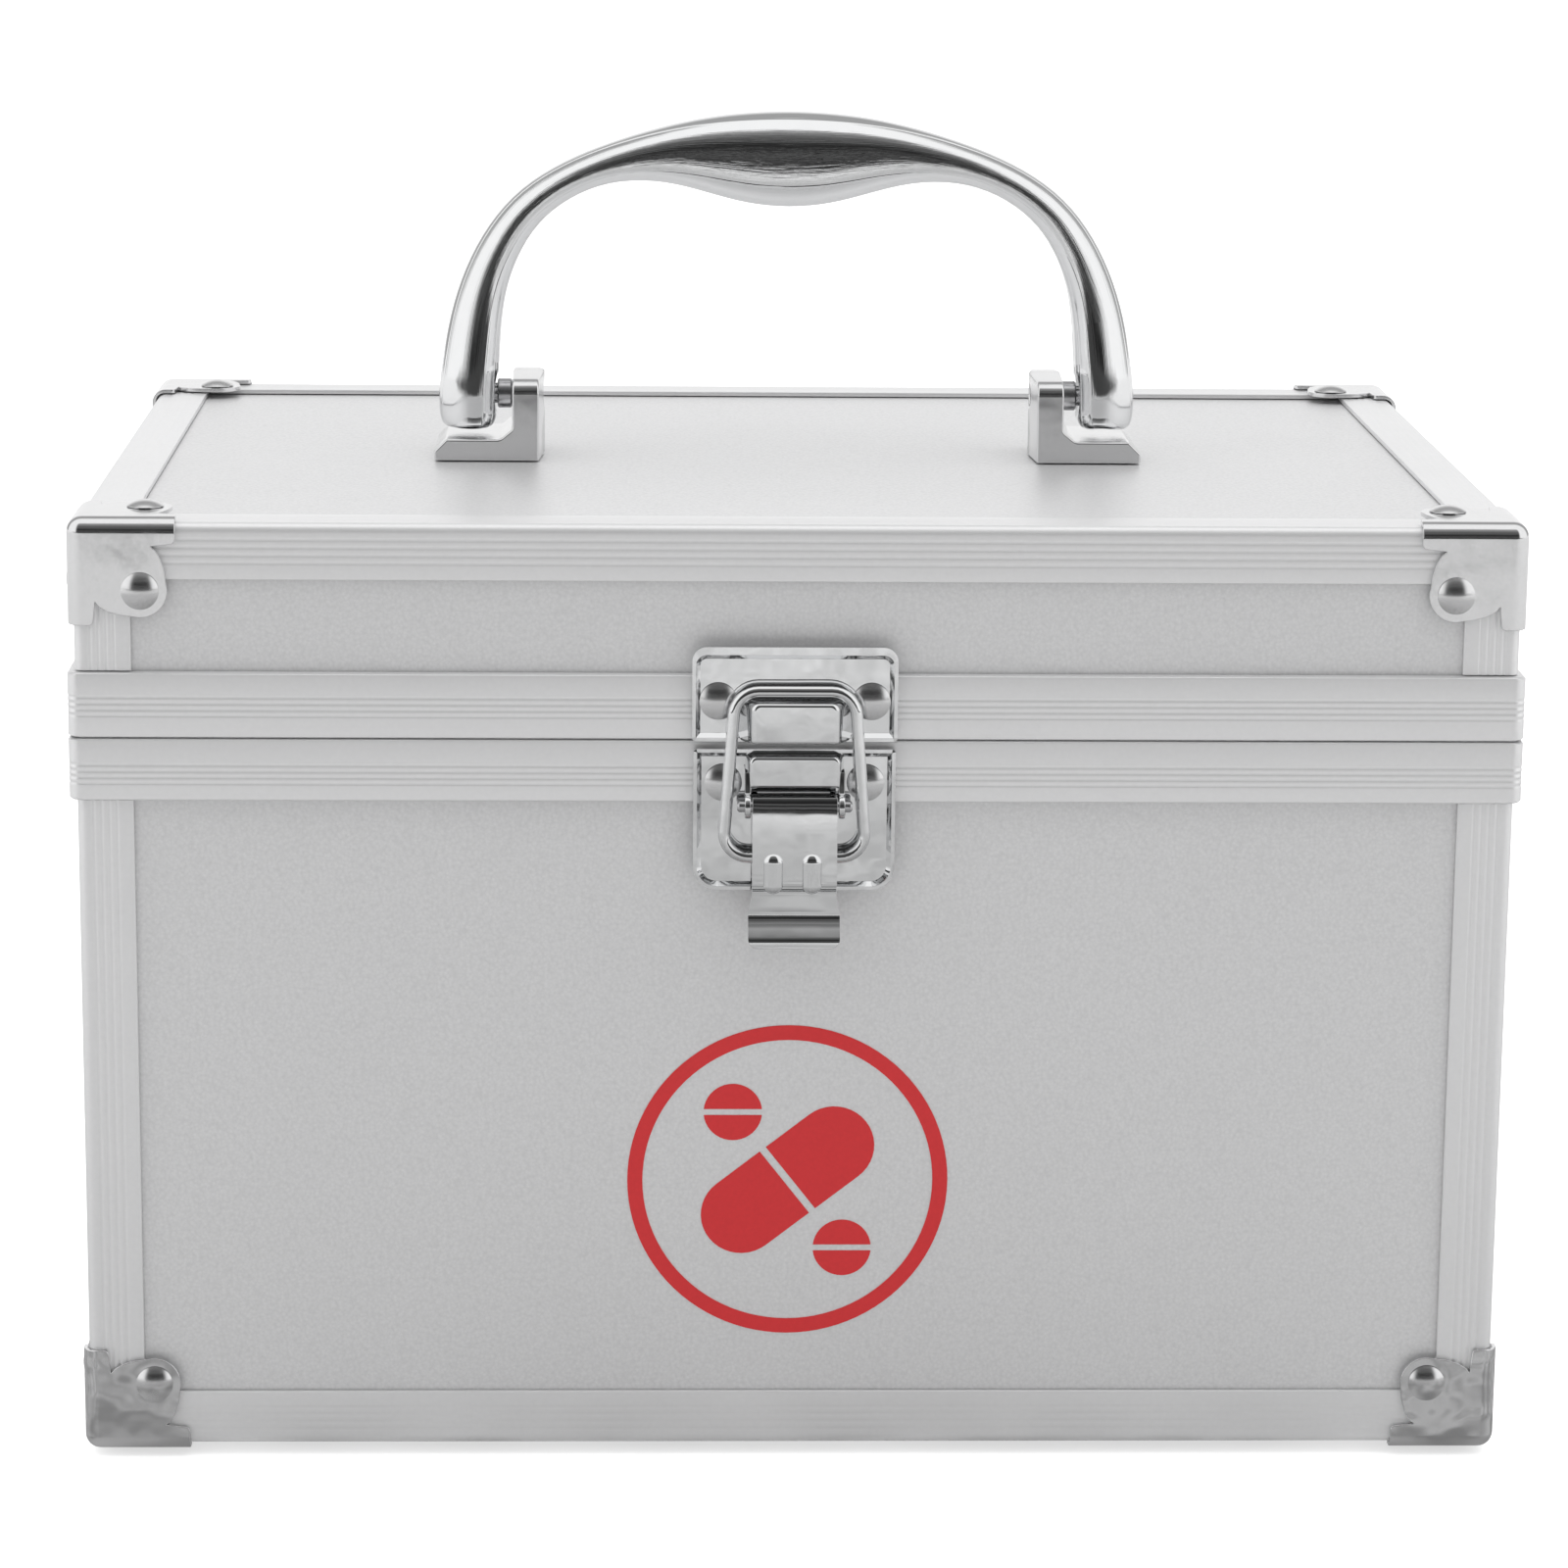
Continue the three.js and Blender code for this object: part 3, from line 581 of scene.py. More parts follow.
@dataclass(frozen=True)
class Finish:
    """A metal, paint or cloth surface with grain, drawn lines, waves, handling marks and dust.

    Scales count per metre; strengths run from 0 to 1; bump heights are millimetres.
    """

    name: str
    colour: Triple
    deep_colour: Triple
    metallic: float
    roughness: float
    grain_scale: float = 900
    grain_colour: float = 0.3
    grain_rough: float = 0.08
    grain_height: float = 0.0
    stretch: Triple = (1, 1, 1)
    line_scale: float = 700
    line_rough: float = 0.0
    line_height: float = 0.0
    wave_scale: float = 60
    wave_height: float = 0.0
    marks: float = 0.05
    marks_scale: float = 14
    dust: float = 0.03
    dust_scale: float = 60
    dust_colour: Triple = (0.55, 0.53, 0.5)
    sheen: float = 0.0

    def effect(self, shader: Shader, effect: Effect, place: object, scale: float) -> Socket:
        """Places a shared effect in this finish.

        Args:
            shader: The material's tree.
            effect: Which effect.
            place: The socket of the place on the surface.
            scale: The effect's scale.

        Returns:
            The mask's socket.
        """
        made = shader.node("ShaderNodeGroup", node_tree=EffectLibrary.group(effect))
        made.inputs["Scale"].default_value = scale
        shader.tree.links.new(place, made.inputs["Place"])
        return made.outputs["Mask"]

    def line_place(self, shader: Shader, place: object) -> Socket:
        """Stretches the place on the surface along the drawn lines."""
        scaled = shader.node("ShaderNodeVectorMath", {0: place, 1: self.stretch}, operation="MULTIPLY")
        return scaled.outputs[0]

    def height(self, shader: Shader, place: object, grain: object, lines: object) -> Socket | None:
        """Adds up the heights that the bump shows.

        Args:
            shader: The material's tree.
            place: The socket of the place on the surface.
            grain: The grain's mask.
            lines: The drawn lines' mask.

        Returns:
            The height's socket in millimetres, or None for a flat surface.
        """
        parts = []
        if self.grain_height:
            parts.append(shader.times(grain, self.grain_height))
        if self.line_height:
            parts.append(shader.times(lines, self.line_height))
        if self.wave_height:
            parts.append(shader.times(shader.noise(place, self.wave_scale, 1.0), self.wave_height))
        total = parts[0] if parts else None
        for part in parts[1:]:
            total = shader.plus(total, part)
        return total

    def material(self) -> bpy.types.Material:
        """Gives this finish's material, built on first use.

        Returns:
            The material.
        """
        if self.name in bpy.data.materials:
            return bpy.data.materials[self.name]
        made = bpy.data.materials.new(self.name)
        made.use_nodes = True
        links = made.node_tree.links
        shader = Shader(made.node_tree)
        surface = made.node_tree.nodes["Principled BSDF"]
        surface.inputs["Metallic"].default_value = self.metallic
        surface.inputs["Sheen Weight"].default_value = self.sheen
        place = shader.node("ShaderNodeTexCoord").outputs["Object"]
        grain = self.effect(shader, Effect.GRAIN, place, self.grain_scale)
        lines = self.effect(shader, Effect.DRAWN, self.line_place(shader, place), self.line_scale)
        marks = self.effect(shader, Effect.MARKS, place, self.marks_scale)
        dust = self.effect(shader, Effect.DUST, place, self.dust_scale)
        tint = shader.times(shader.span(grain, 0.25, 0.75), self.grain_colour)
        colour = shader.blend(tint, (*self.colour, 1), (*self.deep_colour, 1))
        dusted = shader.blend(shader.times(dust, self.dust), colour, (*self.dust_colour, 1))
        rough = shader.plus(self.roughness, shader.times(grain, self.grain_rough))
        rough = shader.plus(rough, shader.times(lines, self.line_rough))
        rough = shader.plus(rough, shader.times(marks, self.marks))
        links.new(dusted, surface.inputs["Base Color"])
        links.new(rough, surface.inputs["Roughness"])
        height = self.height(shader, place, grain, lines)
        if height:
            bump = shader.node("ShaderNodeBump", {"Strength": 1.0, "Distance": MM, "Height": height})
            links.new(bump.outputs[0], surface.inputs["Normal"])
        return made


@dataclass(frozen=True)
class HandleFinish(Finish):
    """Cast chrome whose polishing lines and three fine ridges follow the handle's length.

    The ridges' places are shares of the way from the section's middle, inward below zero and outward above.
    """

    across: str = "across"
    side_stretch: float = 3.0
    ridges: tuple[float, ...] = (0.84, -0.58, -0.9)
    ridge_half: float = 0.025
    ridge_height: float = 0.06

    def line_place(self, shader: Shader, place: object) -> Socket:
        """Lays the lines across the handle's section, so that they run along it.

        Args:
            shader: The material's tree.
            place: The socket of the place on the surface.

        Returns:
            The place's socket.
        """
        across = shader.node("ShaderNodeAttribute", attribute_name=self.across).outputs["Fac"]
        parts = shader.node("ShaderNodeSeparateXYZ", {0: place})
        side = shader.times(parts.outputs[0], self.side_stretch)
        face = shader.math("SIGN", parts.outputs[1])
        return shader.node("ShaderNodeCombineXYZ", {0: across, 1: side, 2: face}).outputs[0]

    def height(self, shader: Shader, place: object, grain: object, lines: object) -> Socket | None:
        """Adds the fine ridges to the other heights.

        Args:
            shader: The material's tree.
            place: The socket of the place on the surface.
            grain: The grain's mask.
            lines: The drawn lines' mask.

        Returns:
            The height's socket in millimetres.
        """
        total = super().height(shader, place, grain, lines)
        across = shader.node("ShaderNodeAttribute", attribute_name=self.across).outputs["Fac"]
        for level in self.ridges:
            away = shader.math("ABSOLUTE", shader.math("SUBTRACT", across, level))
            total = shader.plus(total, shader.span(away, 0, self.ridge_half, self.ridge_height, 0))
        return total


SHEET = Finish("rolled_sheet", (0.75, 0.75, 0.755), (0.57, 0.57, 0.575), 0.5, 0.34, grain_scale=1300,
               grain_colour=0.6, grain_rough=0.16, grain_height=0.02, marks=0.05, dust=0.02)
EXTRUSION_X = Finish("satin_extrusion_x", (0.81, 0.81, 0.815), (0.73, 0.73, 0.735), 0.6, 0.3,
                     stretch=(0.03, 1, 1), line_scale=1500, line_rough=0.1, line_height=0.004, dust=0.02)
EXTRUSION_Y = replace(EXTRUSION_X, name="satin_extrusion_y", stretch=(1, 0.03, 1))
EXTRUSION_Z = replace(EXTRUSION_X, name="satin_extrusion_z", stretch=(1, 1, 0.03))
NICKEL = Finish("nickel_plate", (0.76, 0.76, 0.765), (0.68, 0.68, 0.685), 1.0, 0.1, grain_scale=1600,
                grain_rough=0.04, wave_scale=120, wave_height=0.06, marks=0.12, marks_scale=60, dust=0.03)
CAST_NICKEL = replace(NICKEL, name="cast_nickel", colour=(0.77, 0.77, 0.775), deep_colour=(0.69, 0.69, 0.695),
                      roughness=0.12, grain_rough=0.05, wave_scale=160, wave_height=0.08)
DENTED_NICKEL = replace(NICKEL, name="dented_nickel", wave_scale=130, wave_height=1.2)
RIVET = replace(NICKEL, name="rivet_nickel", roughness=0.19, wave_height=0.05)
CHROME = Finish("chrome_plate", (0.76, 0.765, 0.77), (0.70, 0.705, 0.71), 1.0, 0.045, grain_scale=500,
                grain_colour=0.2, grain_rough=0.02, wave_scale=150, wave_height=0.06, marks=0.06,
                marks_scale=60, dust=0.02)
CAST_CHROME = HandleFinish("cast_chrome", (0.82, 0.825, 0.83), (0.74, 0.745, 0.75), 1.0, 0.025,
                           grain_scale=260, grain_colour=0.25, grain_rough=0.015, line_scale=9,
                           line_height=0.05, line_rough=0.02, marks=0.04, dust=0.02)
STEEL = Finish("plated_steel", (0.58, 0.58, 0.59), (0.48, 0.48, 0.49), 1.0, 0.2, grain_scale=1400,
               grain_rough=0.08, grain_height=0.003, marks=0.08, dust=0.04)
FELT = Finish("dark_felt", (0.045, 0.048, 0.052), (0.02, 0.021, 0.023), 0.0, 0.9, grain_scale=2600,
              grain_colour=0.9, grain_rough=0.08, grain_height=0.12, marks=0.0, dust=0.12, sheen=0.4)
RED_PRINT = Finish("red_print", (0.56, 0.014, 0.018), (0.44, 0.009, 0.012), 0.05, 0.36, grain_scale=1100,
                   grain_colour=0.4, grain_rough=0.14, grain_height=0.015, marks=0.04, dust=0.0)
PAPER_FLOOR = Finish("studio_paper", (0.90, 0.90, 0.90), (0.88, 0.88, 0.88), 0.0, 0.8, grain_scale=300,
                     marks=0.0, dust=0.0)


# The case


@dataclass
class Boards:
    """The boards of base and lid, kept from the frame and dressed as rolled sheet."""

    walls: tuple[str, ...] = ("front", "back", "left", "right")

    def build(self) -> None:
        """Dresses every board."""
        names = [f"{level}_board_{wall}" for level in ("base", "lid") for wall in self.walls]
        for name in [*names, "base_board_bottom", "lid_board_top"]:
            board = frame["nodes"][name]
            board.data.materials.clear()
            board.data.materials.append(SHEET.material())


@dataclass
class AngleFrame:
    """The rails and posts: an angle extrusion with a rounded corner and shallow flutes along both legs."""

    leg: float = 11.8
    sheet: float = 1.0
    corner: float = 2.0
    corner_steps: int = 6
    edge: float = 0.18
    first_flute: float = 3.4
    flute_pitch: float = 1.63
    flute_count: int = 4
    flute_width: float = 1.0
    rail_flute: float = 0.055
    post_flute: float = 0.2

    def half_section(self, flute_depth: float) -> list[Pair]:
        """Lists one leg's outer face from its free edge to the corner, as distance along it and depth.

        Args:
            flute_depth: How deep its flutes are.

        Returns:
            The points in order.
        """
        points = [(self.leg, self.sheet), (self.leg, self.edge), (self.leg - self.edge, 0.0)]
        for index in reversed(range(self.flute_count)):
            points += flute(self.first_flute + index * self.flute_pitch, self.flute_width, flute_depth)
        return points

    def extrusion(self, name: str, along: Vector, across: Vector, up: Vector, finish: Finish) -> None:
        """Models one rail or post in its node's place.

        Args:
            name: The node.
            along: The direction of its length.
            across: The way in along one leg.
            up: The way in along the other leg.
            finish: Its surface.
        """
        low, high = node_box(name)
        inward = across + up
        corner = Vector([low[i] if inward[i] > 0 or along[i] else high[i] for i in range(3)])
        leg = self.half_section(self.post_flute if along.z else self.rail_flute)
        turn = arc((self.corner, self.corner), self.corner, 270, 180, self.corner_steps)
        other_leg = [(depth, distance) for distance, depth in reversed(leg)]
        outline = [*leg, *turn, *other_leg, (self.sheet, self.sheet)]
        points = [corner + across * distance + up * depth for distance, depth in outline]
        length = Vector([(high[i] - low[i]) * along[i] for i in range(3)])
        made = prism(f"{name}_extrusion", points, length)
        body = Body.BASE if name.startswith("base") else Body.LID
        dress(made, finish, body, [name], smooth=50)

    def build(self) -> None:
        """Builds every rail and post."""
        along_x, along_y, along_z = Axis.X.value, Axis.Y.value, Axis.Z.value
        for level, up in (("base", along_z), ("lid", -along_z)):
            for end, sign in ENDS.items():
                self.extrusion(f"{level}_rail_{end}", along_x, -along_y * sign, up, EXTRUSION_X)
            for side, sign in SIDES.items():
                self.extrusion(f"{level}_rail_{side}", along_y, -along_x * sign, up, EXTRUSION_Y)
            for end, end_sign in ENDS.items():
                for side, side_sign in SIDES.items():
                    name = f"{level}_post_{end}_{side}"
                    self.extrusion(name, along_z, -along_x * side_sign, -along_y * end_sign, EXTRUSION_Z)


def flute(middle: float, width: float, depth: float) -> list[Pair]:
    """Lists a shallow rounded flute from far edge to near, as distance along the face and depth."""
    shares = ((0.5, 0.0), (0.36, 0.55), (0.16, 0.95), (-0.16, 0.95), (-0.36, 0.55), (-0.5, 0.0))
    return [(middle + share * width, deep * depth) for share, deep in shares]


@dataclass
class Rim:
    """A rim at the seam: a fluted band outside, a flange over the boards and a lip inside them.

    Levels are measured from the seam, up in the lid and down in the base.
    """

    level: str
    up: int
    height: float
    first_flute: float
    key_rise: float
    key_width: float
    flange_rise: float
    proud: float = 1.5
    corner: float = 5.0
    corner_steps: int = 8
    edge: float = 0.4
    seam: float = 0.12
    flute_count: int = 4
    flute_pitch: float = 1.3
    flute_width: float = 0.9
    flute_depth: float = 0.08
    key_inset: float = 3.3
    lip_outer: float = 5.6
    lip_inner: float = 6.8
    lip_drop: float = 7.5
    wall_inset: float = 1.0

    def profile(self) -> list[Pair]:
        """Lists the section's points as pairs of inset from the outer face and rise from the seam.

        Returns:
            The points in order.
        """
        wall = self.proud + self.wall_inset
        band = [(wall, self.height), (self.edge, self.height), (0.0, self.height - self.edge)]
        for index in reversed(range(self.flute_count)):
            centre = self.first_flute + self.flute_pitch * index
            band += [(inset, rise) for rise, inset in flute(centre, self.flute_width, self.flute_depth)]
        band += [(0.0, self.seam + self.edge), (self.edge, self.seam)]
        key_start = self.proud + self.key_inset - self.key_width / 2
        key_end = self.proud + self.key_inset + self.key_width / 2
        key = [(key_start, self.seam), (key_start, self.key_rise),
               (key_end, self.key_rise), (key_end, self.seam)]
        inner, outer = self.proud + self.lip_inner, self.proud + self.lip_outer
        end = self.flange_rise + self.lip_drop
        lip = [(inner, self.seam), (inner, end), (outer, end),
               (outer, self.flange_rise), (wall, self.flange_rise)]
        return [*band, *key, *lip]

    def build(self) -> Piece:
        """Models the rim as a tower of loops round the case.

        Returns:
            The dressed rim.
        """
        low, high = node_box(f"{self.level}_rim")
        seam_level = joint_place("lid_hinge").z
        middle = (low + high) / 2
        half = (high - low) / 2
        points = self.profile()
        inset, rise = points[0]
        clear_selection()
        start = Vector((middle.x, middle.y, seam_level + self.up * rise))
        bpy.ops.mesh.primitive_plane_add(size=2 * MM, location=start * MM)
        rim = named(f"{self.level}_rim_band")
        edit(rim)
        select_everything()
        bpy.ops.transform.resize(value=(half.x - inset, half.y - inset, 1), center_override=start * MM)
        bpy.ops.mesh.bevel(offset=(self.corner - inset) * MM, segments=self.corner_steps, affect="VERTICES")
        select_everything()
        bpy.ops.mesh.delete(type="ONLY_FACE")
        select_everything()
        for (inset, rise), (next_inset, next_rise) in pairwise([*points, points[0]]):
            extrude(Vector((0, 0, self.up * (next_rise - rise))))
            if next_inset != inset:
                ratios = [(side - next_inset) / (side - inset) for side in half.xy]
                bpy.ops.transform.resize(value=(*ratios, 1), center_override=start * MM)
        leave_edit()
        tidy_shell(rim)
        body = Body.LID if self.up > 0 else Body.BASE
        return dress(rim, EXTRUSION_X, body, [f"{self.level}_rim"], smooth=50)


@dataclass
class CornerCaps:
    """The eight stamped caps and their domed rivets, modelled once at one corner and mirrored to the rest.

    The throat is the hollow between a flange's strip and its rivet lobe, as points along and across it.
    """

    clearance: float = 0.3
    sheet: float = 0.9
    corner: float = 2.0
    outer_corner: float = 3.3
    edge: float = 0.28
    stock_share: float = 2.0
    hollow_share: float = 1.2
    reach: float = 21.3
    strip: float = 4.3
    strip_round: float = 0.9
    lobe: float = 5.6
    lobe_overlap: float = 15.0
    throat: tuple[Pair, ...] = ((19.1, 9.9), (18.3, 7.2), (17.3, 5.5), (16.3, 4.75))
    rivet_inset: float = 14.0
    rivet_radius: float = 3.9
    rivet_height: float = 1.5
    overrun: float = 2.0

    def shell(self) -> Piece:
        """Models the cap where X, Y and Z are greatest, with the rails' corner at the origin.

        Returns:
            The cap before it is placed.
        """
        outside = self.clearance + self.sheet
        diagonal = Vector((1, 1, 1))
        far = -diagonal * self.reach * self.stock_share
        cap = block("cap", far, diagonal * outside)
        soften(cap, self.outer_corner, segments=8)
        hollow = block("cap_hollow", far * self.hollow_share, diagonal * self.clearance)
        soften(hollow, self.corner, segments=6)
        combine(cap, hollow, "DIFFERENCE")
        beyond = outside + self.overrun
        tip = self.reach - self.strip_round
        half = [(self.reach, -beyond),
                *arc((tip, self.strip - self.strip_round), self.strip_round, 0, 90, steps=4)]
        half += reversed(self.throat)
        lobe_middle = (self.rivet_inset, self.rivet_inset)
        lobe = arc(lobe_middle, self.lobe, -self.lobe_overlap, 90 + self.lobe_overlap, 12)
        outline = [(-beyond, -beyond), *half, *lobe, *[(along, across) for across, along in reversed(half)]]
        flat = [(-across, -along) for across, along in outline]
        depth = self.outer_corner + beyond
        start = -self.outer_corner
        cutter = prism("cap_flange_z", in_xy(flat, start), Axis.Z.value * depth)
        combine(cutter, prism("cap_flange_y", in_xz(flat, start), Axis.Y.value * depth), "UNION")
        combine(cutter, prism("cap_flange_x", in_yz(flat, start), Axis.X.value * depth), "UNION")
        combine(cap, cutter, "INTERSECT")
        tidy_shell(cap)
        soften(cap, self.edge, segments=3, angle=50)
        return cap

    def build(self) -> None:
        """Models one cap with three rivets and mirrors them to every corner."""
        cap = self.shell()
        outside = self.clearance + self.sheet
        rivets = {}
        for axis in Axis:
            label = axis.name.lower()
            centre = Vector([outside if part else -self.rivet_inset for part in axis.value])
            rivets[label] = domed_rivet(f"cap_rivet_{label}", centre, axis.value, self.rivet_radius,
                                        self.rivet_height, self.sheet / 2)
        low, high = node_box("base_rail_front")
        bottom, top = low.z, node_box("lid_rail_front")[1].z
        half_width = (node_box("base_post_front_right")[1].x - node_box("base_post_front_left")[0].x) / 2
        front, back = low.y, node_box("base_rail_back")[1].y
        for level, up, height in (("base", -1, bottom), ("lid", 1, top)):
            body, finish = (Body.LID, NICKEL) if up > 0 else (Body.BASE, DENTED_NICKEL)
            for end, end_sign in ENDS.items():
                for side, side_sign in SIDES.items():
                    place = Vector((side_sign * half_width, front if end_sign < 0 else back, height)) * MM
                    change = Matrix.Translation(place) @ mirror(side_sign, end_sign, up)
                    label = f"{level}_cap_{end}_{side}"
                    dress(twin(cap, f"{label}_plate", change), finish, body, [label], smooth=40)
                    for axis_name, rivet in rivets.items():
                        copy = twin(rivet, f"{label}_rivet_{axis_name}", change)
                        dress(copy, RIVET, body, smooth=40)
        for pattern in (cap, *rivets.values()):
            bpy.data.objects.remove(pattern)


def pin_profile(radius: float, half: float, edge: float) -> list[Pair]:
    """Lists a plain pin's outline, with chamfered ends, as radius and place along it."""
    upper = [(radius, half - edge), (radius - edge, half), (0, half)]
    return [*[(out, -along) for out, along in reversed(upper)], *upper]


def domed_rivet(
    name: str, centre: Vector, axis: Vector, radius: float, height: float, seat: float, steps: int = 32
) -> Piece:
    """Models a domed rivet head with a small flat crown and a rolled foot.

    Args:
        name: The new object's name.
        centre: The middle of its foot, in millimetres.
        axis: Its outward direction.
        radius: Its radius.
        height: Its height.
        seat: How far it goes on into what carries it.
        steps: Faces round it.

    Returns:
        The rivet.
    """
    foot_share = 0.16
    neck_share = 0.94
    foot = foot_share * height
    neck = radius * neck_share
    sphere = (radius * radius + (height - foot) ** 2) / (2 * (height - foot))
    sweep = math.degrees(math.asin(radius / sphere))
    dome = arc((0, height - sphere), sphere, 90 - sweep, 90, steps=8)
    profile = [(0, -seat), (neck, -seat), (neck, 0), (radius, foot / 2), *dome]
    profile[-1] = (0, height)
    return turned(name, profile, centre, axis, steps)


# The red sign on the front


@dataclass
class PillSign:
    """A plain capsule and two scored tablets in a thin ring, as thin red prints on the front board."""

    centre_x: float = -1.5
    centre_rise: float = 58.6
    ring_outer: float = 34.0
    ring_width: float = 3.2
    proud: float = 0.15
    edge_share: float = 0.4
    ring_steps: int = 96
    round_steps: int = 20
    capsule_half: float = 21.0
    capsule_radius: float = 8.6
    capsule_gap: float = 1.6
    tilt: float = 38.0
    tablet_radius: float = 6.2
    tablet_out: float = 19.0
    score_width: float = 1.3

    def placed(self, points: Sequence[Pair], tilt: float, shift: Pair = (0, 0)) -> list[Vector]:
        """Turns flat points by an angle, moves them and sets them on the front board.

        Args:
            points: Pairs of across and up about the sign's middle.
            tilt: The angle in degrees.
            shift: A move after the turn.

        Returns:
            The points in space.
        """
        face = node_box("base_board_front")[0].y
        base = node_box("base_rail_front")[0].z
        along, aside = math.cos(math.radians(tilt)), math.sin(math.radians(tilt))
        moved = [(x * along - y * aside + shift[0], x * aside + y * along + shift[1]) for x, y in points]
        return in_xz([(self.centre_x + x, base + self.centre_rise + y) for x, y in moved], face)

    def plate(self, name: str, outline: list[Vector]) -> Piece:
        """Makes one flat print.

        Args:
            name: The new object's name.
            outline: Its outline on the board's face.

        Returns:
            The dressed print.
        """
        made = prism(name, outline, -Axis.Y.value * self.proud)
        soften(made, self.proud * self.edge_share, segments=1, angle=60)
        return dress(made, RED_PRINT, Body.BASE, smooth=30)

    def build(self) -> None:
        """Makes the ring, the two halves of the capsule and the two scored tablets."""
        middle = self.placed([(0, 0)], 0)[0]
        outer = self.ring_outer
        inner = outer - self.ring_width
        section = [(inner, 0), (outer, 0), (outer, self.proud), (inner, self.proud), (inner, 0)]
        ring = turned("sign_ring", section, middle, -Axis.Y.value, self.ring_steps)
        dress(ring, RED_PRINT, Body.BASE, smooth=30)
        reach = self.capsule_half - self.capsule_radius
        half = self.capsule_gap / 2
        radius = self.capsule_radius
        lower = [(half, -radius), *arc((reach, 0), radius, -90, 90, self.round_steps), (half, radius)]
        for label, sign in (("upper", 1), ("lower", -1)):
            points = [(sign * x, y) for x, y in lower]
            self.plate(f"sign_capsule_{label}", self.placed(points, self.tilt))
        score = self.score_width / 2
        size = self.tablet_radius
        start = math.degrees(math.asin(score / size))
        away = math.radians(self.tilt + 90)
        points = arc((0, 0), size, start, 180 - start, self.round_steps)
        for label, sign in (("high", 1), ("low", -1)):
            shift = (sign * self.tablet_out * math.cos(away), sign * self.tablet_out * math.sin(away))
            for half_label, turn in (("a", 0), ("b", 180)):
                self.plate(f"sign_tablet_{label}_{half_label}", self.placed(points, turn, shift))


# The draw latch


@dataclass
class DrawLatch:
    """Keeper with its hook, catch plate with its bridge, lever and wire bail.

    Places are across from the latch's middle, outward from the rims' face and up from the seam. The lever's
    side view runs from its head to its lip, as shares of its belly and of its length, measured from its pin.
    """

    plate_back: float = 0.3
    plate: float = 1.2
    plate_rim: float = 1.7
    plate_edge: float = 0.42
    square_corner: float = 0.8
    rim_share: float = 0.45
    crest_share: float = 1.6
    rim_rise: float = 0.9
    keeper_crest: float = 0.9
    keeper_half: float = 21.3
    keeper_low: float = 0.2
    keeper_high: float = 20.1
    keeper_corner: float = 3.0
    keeper_rivet: Pair = (15.9, 8.6)
    hook_half: float = 12.1
    hook_face_half: float = 8.8
    hook_top: float = 9.6
    hook_reach: float = 7.5
    block_corner: float = 1.5
    block_edge: float = 0.7
    block_share: float = 0.9
    catch_half: float = 21.0
    catch_high: float = -1.4
    catch_low: float = -31.4
    catch_corner: float = 5.0
    catch_rivet: Pair = (14.8, -8.6)
    bridge_high: float = -1.9
    bridge_low: float = -9.3
    bridge_draft: float = 1.0
    ear_inner: float = 9.1
    ear_outer: float = 10.4
    ear_boss: float = 2.6
    ear_step: float = 0.4
    ear_edge: float = 0.3
    pin_reach: float = 6.0
    pin_level: float = -12.7
    pin_radius: float = 1.25
    pin_half: float = 11.9
    pin_edge: float = 0.4
    lever_half: float = 8.8
    lever_flare: float = 9.6
    lever_head: float = 6.0
    lever_sheet: float = 1.2
    lever_belly: float = 3.2
    lever_length: float = 30.6
    lever_shares: tuple[Pair, ...] = (
        (0.74, 0.076), (0.81, 0.059), (0.87, 0.033), (0.915, 0.005), (0.942, -0.029), (0.96, -0.066),
        (0.972, -0.105), (0.981, -0.148), (0.988, -0.191), (0.994, -0.238), (1, -0.296), (1, -0.359),
        (1, -0.444), (0.995, -0.5), (0.98, -0.528), (0.93, -0.538), (0.56, -0.543), (0.5, -0.555),
        (0.53, -0.568), (0.71, -0.576), (0.7, -0.588), (0.62, -0.63), (0.54, -0.68), (0.47, -0.72),
        (0.44, -0.735), (0.43, -0.745), (0.44, -0.755), (0.47, -0.768), (0.51, -0.78), (0.56, -0.79),
        (0.64, -0.804), (0.73, -0.818), (0.83, -0.833), (1.17, -0.881), (1.23, -0.894), (1.265, -0.907),
        (1.28, -0.92), (1.285, -0.935), (1.285, -0.95), (1.28, -0.964))
    waist_share: float = 0.6
    flare_share: float = 0.76
    lip_corner: float = 2.2
    sheet_edge: float = 0.3
    cutter_half: float = 8.0
    cheek_brow: tuple[Pair, ...] = ((-2.2, 1.9), (-1.2, 2.35))
    cheek_pin_boss: float = 2.4
    cheek_bar_boss: float = 2.6
    cheek_front: float = 2.2
    cheek_chin: float = 2.1
    cheek_share: float = 0.53
    hole_gap: float = 0.3
    bore_half: float = 3.0
    bar_in: float = 1.3
    bar_drop: float = 11.05
    wire: float = 1.3
    bail_top_half: float = 12.4
    bail_bottom_half: float = 14.9
    bail_height: float = 35.0
    bail_bottom_corner: float = 5.0
    bail_top_corner: float = 5.2
    rivet_radius: float = 3.9
    rivet_height: float = 1.2
    rivet_lift: float = 0.3
    rivet_root: float = 0.8
    rib_half: float = 2.1
    rib_places: Pair = (-4.4, 3.6)
    rib_top: float = -9.3
    rib_bottom: float = -18.0
    rib_proud: float = 0.9
    rib_root: float = 0.4
    rib_sink_share: float = 0.9

    def __post_init__(self) -> None:
        """Reads the latch's place from the frame."""
        low, high = node_box("latch_keeper")
        self.centre = (low.x + high.x) / 2
        self.face = node_box("lid_rim")[0].y
        self.seam = joint_place("lid_hinge").z
        self.pin_y = self.face - self.pin_reach
        self.pin_z = self.seam + self.pin_level

